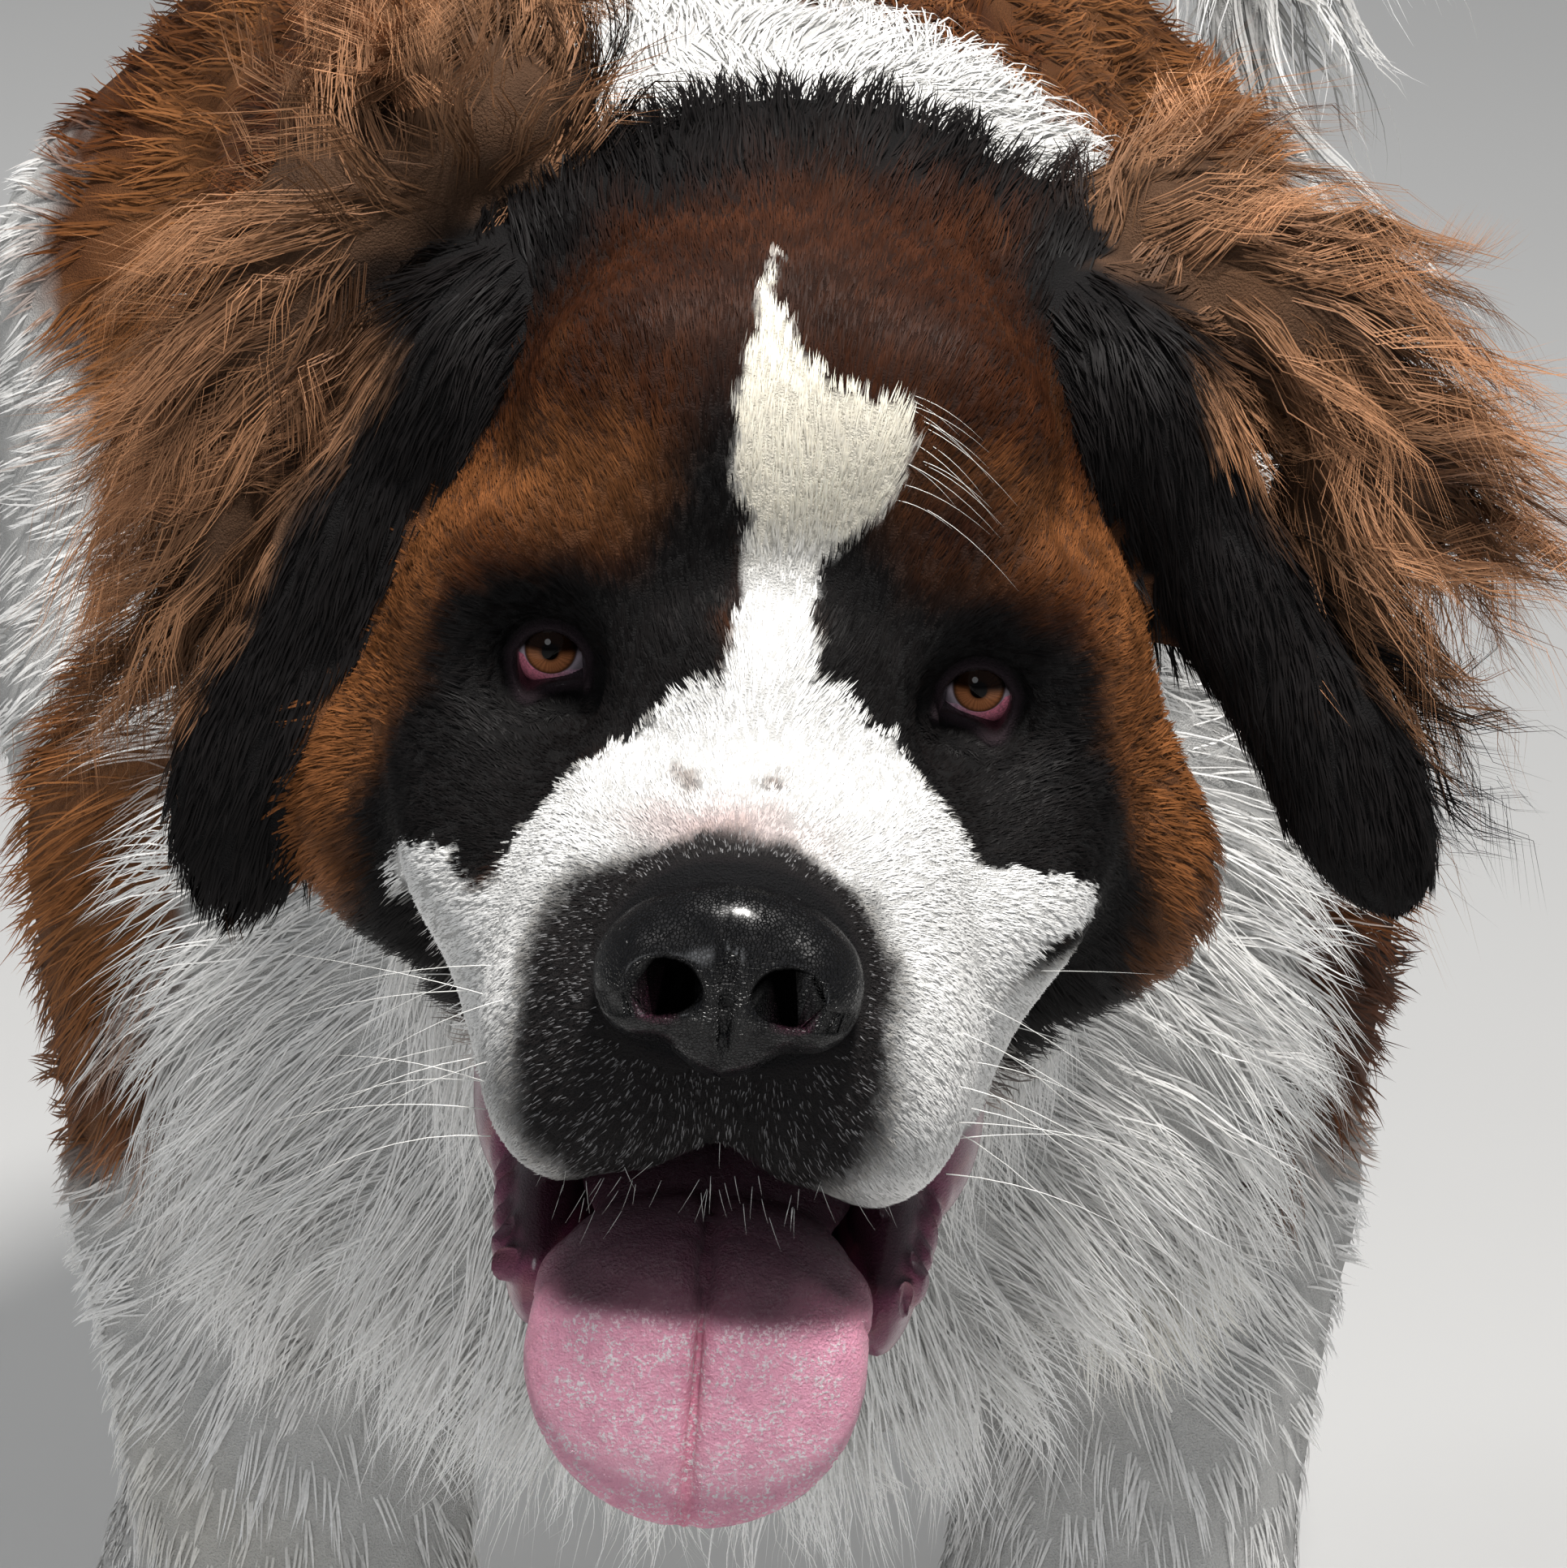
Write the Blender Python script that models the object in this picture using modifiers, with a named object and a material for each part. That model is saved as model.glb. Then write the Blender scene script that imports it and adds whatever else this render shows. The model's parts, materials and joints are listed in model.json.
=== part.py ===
"""A long-haired Saint Bernard, standing, with its mouth open and its tail swung to its left.

The animal is laid up as a sculptor would: named masses of flesh and coat are put on one another,
fused, settled to one flowing surface and parted along thin cuts into head, jaw, neck, trunk, legs,
paws and tail. Ears, nose, eyes and tongue are shapes of their own that meet the flesh with a gap.

Each mass is given in centimetres as a place (across, forward, up) and full sizes in the same order.
Body masses are measured from the floor under the dog, head masses from midway between its eyes.
+Z is up and the dog faces -Y, so +X is its left side. The finished parts are in metres.
"""
import math

import bmesh
import bpy
import numpy as np
from mathutils import Matrix, Vector

CM = 0.01
SIDES = {"left": 1.0, "right": -1.0}

# Where the head is carried, and how it is held.
EYE_REACH = 0.68
EYE_HEIGHT = 0.71
HEAD_PITCH_UP = 1.0
HEAD_TILT = 4.5
HEAD_TURN = -4.6

# Where the paws stand, and how broad they are.
FORE_STATION = (12.0, 30.0)
HIND_STATION = (14.8, -38.0)
PAW_WIDTH = 10.4

# The eyes.
EYE_ACROSS = 5.3
EYE_RADIUS = 1.2

# How finely each shape is fused, and how many triangles it keeps.
HEAD_VOXEL = 0.0035
BODY_VOXEL = 0.0085
EAR_VOXEL = 0.0035
NOSE_VOXEL = 0.0012
TONGUE_VOXEL = 0.0018
HEAD_TRIANGLES = 2150
BODY_TRIANGLES = 3150
EAR_TRIANGLES = 340
NOSE_TRIANGLES = 460
TONGUE_TRIANGLES = 300

GAP = 0.0004
CUT = 0.0005

# Beyond this a mass has no part in a place.
FAR = 0.05

# Drawing a fused shape onto its blended surface: passes, longest step, and the least slope trusted.
SETTLE_PASSES = 5
SETTLE_STEP = 0.006
SETTLE_SLOPE = 0.2
SLOPE_STEP = 0.0004
LIMB_BLEND = 0.01

# The masses whose middles lie further forward than this are meshed finely with the head.
HEAD_FROM = 0.45

# Bodies smaller than this many cubic metres are crumbs of a cut.
CRUMB = 1e-6


def clear_scene():
    for obj in list(bpy.data.objects):
        bpy.data.objects.remove(obj, do_unlink=True)


def collection(name):
    made = bpy.data.collections.new(name)
    bpy.context.scene.collection.children.link(made)
    return made


def material(name, colour, roughness):
    made = bpy.data.materials.new(name)
    made.use_nodes = True
    shader = made.node_tree.nodes["Principled BSDF"]
    shader.inputs["Base Color"].default_value = (*colour, 1.0)
    shader.inputs["Roughness"].default_value = roughness
    shader.inputs["Metallic"].default_value = 0.0
    return made


def turned(lean, splay, twist):
    """lean tips a mass forward, splay tips its top outward, twist turns it about the vertical."""
    return (
        Matrix.Rotation(math.radians(twist), 4, "Z")
        @ Matrix.Rotation(math.radians(splay), 4, "Y")
        @ Matrix.Rotation(math.radians(lean), 4, "X")
    )


def head_frame():
    """From places about the middle of the eyes to places about the floor."""
    return (
        Matrix.Translation((0.0, -EYE_REACH, EYE_HEIGHT))
        @ turned(-HEAD_PITCH_UP, HEAD_TILT, HEAD_TURN)
    )


FLOOR_FRAME = Matrix.Identity(4)
HEAD_FRAME = head_frame()


def spot(frame, across, forward, up):
    return frame @ Vector((across * CM, -forward * CM, up * CM))


def add_primitive(bm, create, **sizes):
    """Adds one primitive to a mesh that already holds others."""
    one = bmesh.new()
    create(one, **sizes)
    mesh = bpy.data.meshes.new("primitive")
    one.to_mesh(mesh)
    one.free()
    bm.from_mesh(mesh)
    bpy.data.meshes.remove(mesh)


class Ellipsoid:
    """A rounded mass, and how softly it blends with what it is laid on."""

    def __init__(self, frame, at, size, lean, splay, twist, blend, carve):
        self.place = Matrix.Translation(spot(frame, *at)) @ (
            frame.to_3x3() @ turned(lean, splay, twist).to_3x3()
        ).to_4x4()
        self.radii = np.array(size) * CM / 2
        self.blend = blend * CM
        self.carve = carve

    def shape(self, bm):
        grown = self.place @ Matrix.Diagonal((*self.radii, 1.0))
        add_primitive(bm, bmesh.ops.create_uvsphere, u_segments=32, v_segments=20, radius=1.0, matrix=grown)

    def span(self):
        reach = np.abs(np.array(self.place.to_3x3())) @ self.radii
        centre = np.array(self.place.translation)
        return centre - reach, centre + reach

    def distance(self, points):
        axes = np.array(self.place.to_3x3())
        local = (points - np.array(self.place.translation)) @ axes
        near = np.linalg.norm(local / self.radii, axis=1)
        slope = np.linalg.norm(local / self.radii**2, axis=1)
        return near * (near - 1.0) / np.maximum(slope, 1e-6)


class Limb:
    """A tapering run of round sections through (across, forward, up, radius) stations."""

    def __init__(self, frame, route, blend):
        self.stations = [(spot(frame, *stop[:3]), stop[3] * CM) for stop in route]
        self.blend = blend * CM
        self.carve = False

    def shape(self, bm):
        for centre, radius in self.stations:
            place = Matrix.Translation(centre)
            add_primitive(
                bm, bmesh.ops.create_uvsphere, u_segments=24, v_segments=14, radius=radius, matrix=place
            )
        for (start, wide), (end, narrow) in zip(self.stations, self.stations[1:]):
            along = end - start
            turn = along.to_track_quat("Z", "Y").to_matrix().to_4x4()
            place = Matrix.Translation((start + end) / 2) @ turn
            add_primitive(
                bm, bmesh.ops.create_cone, cap_ends=True, segments=24, radius1=wide, radius2=narrow,
                depth=along.length, matrix=place,
            )

    def span(self):
        centres = np.array([tuple(centre) for centre, _ in self.stations])
        radii = np.array([[radius] for _, radius in self.stations])
        return (centres - radii).min(axis=0), (centres + radii).max(axis=0)

    def distance(self, points):
        nearest = None
        for (start, wide), (end, narrow) in zip(self.stations, self.stations[1:]):
            along = np.array(end - start)
            share = np.clip((points - np.array(start)) @ along / (along @ along), 0.0, 1.0)
            off = points - np.array(start) - share[:, None] * along
            reach = np.linalg.norm(off, axis=1) - (wide * (1 - share) + narrow * share)
            nearest = reach if nearest is None else join(nearest, reach, LIMB_BLEND)
        return nearest


def join(surface, laid, blend):
    """Lays one distance on another with a rounded fillet between them."""
    mix = np.clip(0.5 + 0.5 * (surface - laid) / blend, 0.0, 1.0)
    return surface * (1 - mix) + laid * mix - blend * mix * (1 - mix)


def cut(surface, tool, blend):
    """Hollows one distance by another with a rounded brim."""
    mix = np.clip(0.5 - 0.5 * (surface + tool) / blend, 0.0, 1.0)
    return surface * (1 - mix) - tool * mix + blend * mix * (1 - mix)


class Clay:
    """Masses laid on one another in order."""

    def __init__(self):
        self.frame = FLOOR_FRAME
        self.forms = []

    def mass(self, at, size, lean=0.0, splay=0.0, twist=0.0, blend=1.2, carve=False):
        self.forms.append(Ellipsoid(self.frame, at, size, lean, splay, twist, blend, carve))

    def pair(self, at, size, lean=0.0, splay=0.0, twist=0.0, blend=1.2, carve=False):
        """The same mass on the left and, mirrored, on the right."""
        for sign in SIDES.values():
            self.mass((sign * at[0], *at[1:]), size, lean, sign * splay, sign * twist, blend, carve)

    def limb(self, route, blend=1.2):
        self.forms.append(Limb(self.frame, route, blend))

    def pair_limb(self, route, blend=1.2):
        for sign in SIDES.values():
            self.limb([(sign * stop[0], *stop[1:]) for stop in route], blend)

    def surface(self, points):
        """How far each point stands outside the blended surface, or inside it if below zero."""
        level = np.full(len(points), FAR)
        for form in self.forms:
            low, high = form.span()
            margin = form.blend + FAR / 2
            near = ((points > low - margin) & (points < high + margin)).all(axis=1)
            if near.any():
                step = cut if form.carve else join
                level[near] = step(level[near], form.distance(points[near]), form.blend)
        return level

    def slope(self, points):
        """The way out of the surface, from four small steps about each point."""
        out = np.zeros_like(points)
        for corner in ((1, -1, -1), (-1, -1, 1), (-1, 1, -1), (1, 1, 1)):
            way = np.array(corner, float)
            out += self.surface(points + SLOPE_STEP * way)[:, None] * way
        return out / (4 * SLOPE_STEP)


def link(name, mesh, owner=None):
    obj = bpy.data.objects.new(name, mesh)
    (owner or bpy.context.scene.collection).objects.link(obj)
    return obj


def settled(obj):
    """The object with its modifiers made real."""
    graph = bpy.context.evaluated_depsgraph_get()
    mesh = bpy.data.meshes.new_from_object(obj.evaluated_get(graph))
    old = obj.data
    obj.modifiers.clear()
    obj.data = mesh
    bpy.data.meshes.remove(old)
    return obj


def triangle_count(obj):
    obj.data.calc_loop_triangles()
    return len(obj.data.loop_triangles)


def fused(name, clay, forms, voxel, triangles):
    """One closed skin over some of the masses, drawn onto the blended surface of all and thinned."""
    bm = bmesh.new()
    for form in forms:
        if not form.carve:
            form.shape(bm)
    mesh = bpy.data.meshes.new(name)
    bm.to_mesh(mesh)
    bm.free()
    obj = link(name, mesh)
    remesh = obj.modifiers.new("fuse", "REMESH")
    remesh.mode = "VOXEL"
    remesh.voxel_size = voxel
    even = obj.modifiers.new("even", "SMOOTH")
    even.factor = 0.5
    even.iterations = 4
    settled(obj)
    points = np.empty(len(obj.data.vertices) * 3)
    obj.data.vertices.foreach_get("co", points)
    points = points.reshape(-1, 3)
    for _ in range(SETTLE_PASSES):
        out = clay.slope(points)
        steep = np.maximum((out * out).sum(axis=1), SETTLE_SLOPE)
        points = points - out * np.clip(clay.surface(points) / steep, -SETTLE_STEP, SETTLE_STEP)[:, None]
    obj.data.vertices.foreach_set("co", points.ravel())
    obj.data.update()
    thin = obj.modifiers.new("thin", "DECIMATE")
    thin.ratio = triangles / triangle_count(obj)
    return settled(obj)


def as_cutter(obj):
    obj.hide_render = True
    obj.display_type = "WIRE"
    for owner in list(obj.users_collection):
        owner.objects.unlink(obj)
    CUTTERS.objects.link(obj)
    return obj


def swollen(obj, by=GAP):
    """A copy that stands proud of the object on every side, for cutting its seat."""
    made = link(obj.name + "_seat", obj.data.copy())
    grow = made.modifiers.new("grow", "DISPLACE")
    grow.mid_level = 0.0
    grow.strength = by
    return as_cutter(settled(made))


def block(name, frame, middle, size, lean=0.0):
    """A box in a frame, its middle and full sizes in centimetres across, forward and up."""
    bm = bmesh.new()
    place = Matrix.Translation(spot(frame, *middle)) @ frame.to_3x3().to_4x4() @ turned(lean, 0.0, 0.0)
    sides = Matrix.Diagonal((size[0] * CM, size[1] * CM, size[2] * CM, 1.0))
    bmesh.ops.create_cube(bm, size=1.0, matrix=place @ sides)
    mesh = bpy.data.meshes.new(name)
    bm.to_mesh(mesh)
    bm.free()
    return as_cutter(link(name, mesh))


def without(obj, tool):
    step = obj.modifiers.new("cut", "BOOLEAN")
    step.operation = "DIFFERENCE"
    step.object = tool
    step.solver = "EXACT"
    return settled(obj)


def islands(obj):
    """The separate bodies of an object, largest first, each as (volume, middle, mesh)."""
    bm = bmesh.new()
    bm.from_mesh(obj.data)
    bmesh.ops.remove_doubles(bm, verts=bm.verts, dist=1e-6)
    found = []
    waiting = set(bm.faces)
    while waiting:
        island = {waiting.pop()}
        edge = list(island)
        while edge:
            face = edge.pop()
            for side in face.edges:
                for other in side.link_faces:
                    if other in waiting:
                        waiting.discard(other)
                        island.add(other)
                        edge.append(other)
        found.append({face.index for face in island})
    bm.faces.ensure_lookup_table()
    pieces = []
    for indices in found:
        piece = bm.copy()
        piece.faces.ensure_lookup_table()
        spare = [face for face in piece.faces if face.index not in indices]
        bmesh.ops.delete(piece, geom=spare, context="FACES")
        loose = [vert for vert in piece.verts if not vert.link_faces]
        bmesh.ops.delete(piece, geom=loose, context="VERTS")
        middle = sum((vert.co for vert in piece.verts), Vector()) / len(piece.verts)
        mesh = bpy.data.meshes.new("piece")
        volume = piece.calc_volume()
        bmesh.ops.triangulate(piece, faces=piece.faces)
        piece.to_mesh(mesh)
        piece.free()
        pieces.append((volume, middle, mesh))
    bm.free()
    return sorted(pieces, key=lambda piece: -piece[0])


def whole(obj):
    """Only the largest body of the object, so that no crumb of a cut is left beside it."""
    obj.data = islands(obj)[0][2]
    return obj


def lay_head(clay):
    # Braincase, forehead and the crest of hair over the nape.
    clay.mass((0, -9.0, 2.8), (14.4, 19, 14.4), blend=2)
    clay.mass((0, -12.0, 7.6), (13.4, 10, 6.0), blend=2)
    clay.mass((0, -3.6, 4.2), (13.2, 9.4, 10.4), blend=2.5)
    clay.pair((3.3, -1.8, 5.6), (6.0, 5.6, 6.4), blend=2)
    clay.pair((5.2, -6.5, 1.4), (5.2, 9, 8.4), blend=2)
    # Brows, and the bone and loose flesh about the eyes.
    clay.pair((4.5, 0.3, 2.75), (6.0, 3.6, 2.9), splay=6, blend=1.4)
    clay.pair((6.7, -2.2, 0.4), (4.0, 5.2, 5.4), blend=1.6)
    clay.pair((5.8, -1.0, -2.9), (6.6, 4.8, 4.4), blend=1.6)
    clay.pair((2.7, 0.8, -0.6), (4.2, 5.6, 4.6), blend=1.6)
    # Cheeks, with the hair that hangs from them.
    clay.pair((6.2, -5.6, -2.2), (7.6, 11, 11), blend=2)
    clay.pair((7.6, -5.6, -6.0), (8.4, 9, 8.4), blend=2)
    clay.pair((9.0, -7.6, -7.2), (6.0, 6, 6.0), splay=-12, blend=2)
    # Short square muzzle with deep flews.
    clay.mass((0, 4.9, -3.3), (6.8, 13.4, 6.2), blend=1.8)
    clay.pair((2.5, 5.4, -5.9), (6.6, 12.0, 6.6), blend=1.8)
    clay.pair((3.8, 5.8, -8.2), (4.8, 10.0, 6.2), splay=4, blend=1.4)
    clay.pair((2.1, 9.0, -7.6), (4.8, 4.6, 4.8), blend=1.2)
    clay.mass((0, 9.4, -4.0), (6.4, 4.0, 5.0), blend=1.2)
    clay.pair((5.1, 1.4, -7.2), (3.8, 7.6, 7.6), blend=1.4)


def lay_sockets(clay):
    clay.pair((EYE_ACROSS, 0.1, 0.0), (3.2, 3.4, 2.4), splay=-6, blend=0.8, carve=True)


def lay_jaw(clay):
    """The dropped lower jaw, its loose lips and the throat behind it."""
    clay.mass((0, 2.6, -14.6), (8.6, 11.6, 3.2), lean=8, blend=1.2)
    clay.pair((4.2, 3.2, -13.2), (2.2, 9.0, 4.6), lean=12, blend=0.9)
    clay.pair((5.3, 0.2, -10.9), (2.2, 6, 4.6), lean=24, blend=0.9)
    clay.mass((0, -1.0, -14.0), (9.0, 10, 5.4), lean=14, blend=2)
    clay.mass((0, -7.5, -9.8), (16, 13, 13), blend=3)


def lay_nose(clay):
    clay.mass((0, 11.1, -3.9), (6.3, 3.4, 4.4), blend=0.8)
    clay.pair((2.0, 11.7, -4.1), (2.5, 2.6, 3.0), blend=0.8)
    clay.mass((0, 11.5, -5.5), (2.6, 2.2, 2.6), blend=0.8)
    # Nostrils with their side slits, and the furrow between them.
    clay.pair((1.35, 13.2, -4.2), (1.5, 2.2, 1.25), splay=-12, blend=0.4, carve=True)
    clay.pair((2.2, 12.9, -4.75), (1.6, 1.6, 0.5), splay=14, blend=0.3, carve=True)
    clay.mass((0, 13.2, -5.3), (0.3, 1.6, 4.0), blend=0.3, carve=True)


def lay_tongue(clay):
    """Broad tongue that lies on the jaw and falls over its front."""
    clay.mass((0, 3.2, -11.7), (7.0, 12.0, 1.8), lean=6, blend=1)
    clay.mass((0, 8.9, -12.9), (8.0, 3.8, 2.8), lean=38, blend=1.6)
    clay.mass((-0.1, 10.4, -15.1), (8.4, 1.8, 6.6), lean=-9, blend=1.6)


def lay_ear(clay, side):
    """A hanging leather lobe with long wind-blown hair over its upper half."""
    if side == "right":
        clay.mass((-8.6, -8.8, 4.6), (5.0, 7.0, 7.6), splay=28, blend=1.5)
        clay.mass((-10.8, -8.2, -0.8), (4.4, 7.6, 10.5), splay=18, blend=1.5)
        clay.mass((-12.4, -7.6, -6.2), (4.4, 6.0, 8.4), splay=10, blend=1.5)
        clay.mass((-12.8, -10.2, 3.0), (8.4, 8.0, 13.0), splay=8, blend=2)
        clay.mass((-14.2, -9.8, -1.6), (5.4, 6.6, 9.0), blend=2)
        clay.mass((-8.0, -12.6, 10.0), (8.4, 8.6, 7.2), splay=-30, blend=2)
        clay.mass((-6.0, -13.6, 12.0), (6.0, 6.4, 4.6), splay=-50, blend=2)
    else:
        clay.mass((8.8, -8.8, 5.4), (5.4, 7.0, 7.6), splay=-38, blend=1.5)
        clay.mass((12.0, -8.2, 0.6), (4.6, 7.6, 11.0), splay=-34, blend=1.5)
        clay.mass((15.2, -7.8, -3.6), (4.4, 6.0, 7.8), splay=-30, blend=1.5)
        clay.mass((12.8, -10.4, 6.6), (10.5, 8.4, 8.0), splay=28, blend=2)
        clay.mass((16.2, -10.0, 2.6), (8.0, 7.0, 7.6), splay=36, blend=2)


def lay_neck(clay):
    """A thick neck with a collar and a bib of long hair."""
    clay.limb([(0, 20, 62, 16), (0.3, 32, 64.5, 15.5), (0.5, 44, 68, 13), (0.8, 54, 71, 10)], blend=5)
    clay.mass((0, 47, 60), (23, 20, 26), blend=4)


def lay_trunk(clay):
    # Ribs and backbone.
    clay.pair((6.2, 6, 52), (27, 60, 33), blend=5)
    clay.mass((0, 8, 62), (23, 62, 27), blend=5)
    clay.mass((0, 24, 66), (20, 30, 21), blend=5)
    # Loin, croup and belly.
    clay.mass((0, -18, 59), (31, 42, 30), blend=5)
    clay.mass((0, -35, 60), (29, 28, 27), blend=5)
    clay.mass((0, 0, 42), (24, 52, 14), blend=5)
    # Forechest and shoulders.
    clay.mass((0, 37, 52), (28, 18, 30), blend=5)
    clay.mass((0, 38, 46), (22, 17, 20), blend=5)
    clay.pair((11.5, 28, 55), (15, 24, 38), lean=-14, blend=4)


def lay_forelegs(clay):
    """Straight, heavy-boned forelegs with feathering down their backs."""
    clay.pair_limb(
        [(12.5, 27, 52, 8), (12.4, 24.5, 41, 6.8), (12, 26.5, 29, 5.2), (12, 28, 17, 4.7),
         (12, 28.5, 9, 4.6), (12, 30, 5, 4.8)],
        blend=3,
    )
    clay.pair((12.6, 20.5, 34), (6, 7, 22), lean=-8, blend=3)
    clay.pair((12.2, 22.6, 22), (4.6, 5.4, 16), lean=-8, blend=2)


def lay_hindlegs(clay):
    """Broad thighs, bent stifles and upright hocks, with breeches of long hair."""
    clay.pair((11.2, -33, 50), (15.4, 28, 38), lean=10, blend=4)
    clay.pair_limb(
        [(13, -32, 50, 10.5), (14.3, -27, 39, 8.6), (14.6, -33.5, 29, 6.3), (14.6, -42, 21, 4.6),
         (14.8, -42, 13, 4.2), (14.8, -39.5, 6.5, 4.6)],
        blend=3,
    )
    clay.pair((12.5, -43.5, 42), (9.5, 10, 30), lean=-6, blend=3)


def lay_tail(clay):
    """A long bushy tail, lifted from the croup and swung out to the left."""
    clay.limb(
        [(0, -43, 62, 5.5), (2, -51, 65, 5), (8, -57, 68, 6), (14, -60, 68, 7), (19.5, -59, 64, 7),
         (23, -56, 58, 5.5), (24.5, -53, 53, 3.2), (25, -51, 50, 1)],
        blend=3,
    )


def lay_paws(clay):
    """Broad paws with four arched toes and a blunt claw on each."""
    for station in (FORE_STATION, HIND_STATION):
        for sign in SIDES.values():
            middle, front = sign * station[0], station[1]
            clay.mass((middle, front + 1.6, 4.0), (PAW_WIDTH, 11, 8.0), blend=1)
            for place, reach in ((-3.8, 4.2), (-1.35, 5.6), (1.35, 5.6), (3.8, 4.2)):
                clay.mass((middle + place, front + reach, 3.0), (3.6, 5.8, 5.6), blend=0.5)
                clay.mass((middle + place, front + reach + 2.9, 1.9), (1.1, 2.4, 1.5), lean=22, blend=0.4)


def lay_animal(clay):
    lay_neck(clay)
    lay_trunk(clay)
    lay_forelegs(clay)
    lay_hindlegs(clay)
    lay_tail(clay)
    lay_paws(clay)
    clay.frame = HEAD_FRAME
    lay_head(clay)
    lay_jaw(clay)
    lay_sockets(clay)


# The thin cuts: frame, middle and full sizes in centimetres, and lean in degrees.
SLIT = CUT / CM
NAPE = -11.5
NAPE_BLOCK = 50
JAW_CUT = (HEAD_FRAME, (0, 1.0, -11.9), (40, 27, SLIT), -4.6)
BREAST_CUT = (FLOOR_FRAME, (0, 33.5, 60), (60, SLIT, 80), -28)
WAIST_CUT = (FLOOR_FRAME, (0, -13.0, 55), (60, SLIT, 60), 0)
TAIL_CUT = (FLOOR_FRAME, (2, -48.2, 64), (22, SLIT, 26), 0)
BRUSH_CUT = (FLOOR_FRAME, (16, -60, 67), (SLIT, 26, 30), 0)
SHOULDER_CUT = (FLOOR_FRAME, (0, 24, 33.5), (60, 34, SLIT), 0)
STIFLE_CUT = (FLOOR_FRAME, (0, -34, 33.5), (60, 40, SLIT), 0)
WRIST_CUT = (FLOOR_FRAME, (0, 28, 8.6), (60, 40, SLIT), 0)
HOCK_CUT = (FLOOR_FRAME, (0, -40, 8.6), (60, 40, SLIT), 0)
FLOOR_CUT = (FLOOR_FRAME, (0, 0, -19.58), (90, 200, 40), 0)

# Each fleshy part is known by a place inside it.
FLESH = {
    "neck": (FLOOR_FRAME, (0, 46, 63)),
    "chest": (FLOOR_FRAME, (0, 10, 55)),
    "hindquarters": (FLOOR_FRAME, (0, -32, 52)),
    "tail_root": (FLOOR_FRAME, (8, -57, 67)),
    "tail_brush": (FLOOR_FRAME, (21, -57, 61)),
    "foreleg_left": (FLOOR_FRAME, (12, 25, 23)),
    "foreleg_right": (FLOOR_FRAME, (-12, 25, 23)),
    "forepaw_left": (FLOOR_FRAME, (12, 33, 4)),
    "forepaw_right": (FLOOR_FRAME, (-12, 33, 4)),
    "hindleg_left": (FLOOR_FRAME, (14.6, -38, 23)),
    "hindleg_right": (FLOOR_FRAME, (-14.6, -38, 23)),
    "hindpaw_left": (FLOOR_FRAME, (14.8, -35, 4)),
    "hindpaw_right": (FLOOR_FRAME, (-14.8, -35, 4)),
}
HEAD_FLESH = {
    "head": (HEAD_FRAME, (0, -2, -1)),
    "jaw": (HEAD_FRAME, (0, 1, -14.5)),
}


def parted(obj, cuts, places):
    """Cuts an object through and gives each body the name whose place is nearest to its middle."""
    for number, (frame, middle, size, lean) in enumerate(cuts):
        without(obj, block(f"{obj.name}_cut_{number}", frame, middle, size, lean))
    pieces = islands(obj)
    bpy.data.objects.remove(obj)
    made = {}
    for name, (frame, at) in places.items():
        inside = spot(frame, *at)
        bodies = [piece for piece in pieces if piece[0] > CRUMB]
        _, _, mesh = min(bodies, key=lambda piece: (piece[1] - inside).length)
        made[name] = link(name, mesh, DOG)
    return made


def ball(name, frame, at, radius):
    bm = bmesh.new()
    bmesh.ops.create_uvsphere(
        bm,
        u_segments=16,
        v_segments=10,
        radius=radius * CM,
        matrix=Matrix.Translation(spot(frame, *at)) @ turned(90, 0, 0),
    )
    mesh = bpy.data.meshes.new(name)
    bm.to_mesh(mesh)
    bm.free()
    return link(name, mesh, DOG)


def kept(obj, name):
    """Moves a finished shape into the dog's own collection."""
    obj.name = name
    for owner in list(obj.users_collection):
        owner.objects.unlink(obj)
    DOG.objects.link(obj)
    return obj


def near_head(clay):
    """The masses that shape the front of the neck and everything before it."""
    found = []
    for form in clay.forms:
        middle = form.place.translation if isinstance(form, Ellipsoid) else form.stations[-1][0]
        if -middle.y > HEAD_FROM:
            found.append(form)
    return found


def shaded(obj, look):
    obj.data.materials.clear()
    obj.data.materials.append(look)
    for face in obj.data.polygons:
        face.use_smooth = True


def build_flesh():
    """The animal as one shape, meshed finer at the head, then parted."""
    animal = Clay()
    lay_animal(animal)
    front = fused("front", animal, near_head(animal), HEAD_VOXEL, HEAD_TRIANGLES)
    rear = fused("rear", animal, animal.forms, BODY_VOXEL, BODY_TRIANGLES)
    behind, before = (
        block(name, HEAD_FRAME, (0, NAPE + side * (NAPE_BLOCK - SLIT) / 2, 0), (60, NAPE_BLOCK, 60))
        for name, side in (("behind_nape", -1), ("before_nape", 1))
    )
    without(front, behind)
    without(rear, before)
    made = parted(front, [JAW_CUT], HEAD_FLESH)
    body_cuts = [
        BREAST_CUT, WAIST_CUT, TAIL_CUT, BRUSH_CUT, SHOULDER_CUT, STIFLE_CUT, WRIST_CUT, HOCK_CUT, FLOOR_CUT
    ]
    made.update(parted(rear, body_cuts, FLESH))
    return made


def build_eye(side):
    at = (SIDES[side] * EYE_ACROSS, -EYE_RADIUS, 0)
    return ball("eye_" + side, HEAD_FRAME, at, EYE_RADIUS)


def build_ear(side):
    clay = Clay()
    clay.frame = HEAD_FRAME
    lay_ear(clay, side)
    return kept(fused("ear", clay, clay.forms, EAR_VOXEL, EAR_TRIANGLES), "ear_" + side)


def build_small(name, lay, voxel, triangles):
    clay = Clay()
    clay.frame = HEAD_FRAME
    lay(clay)
    return kept(fused(name, clay, clay.forms, voxel, triangles), name)


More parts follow.
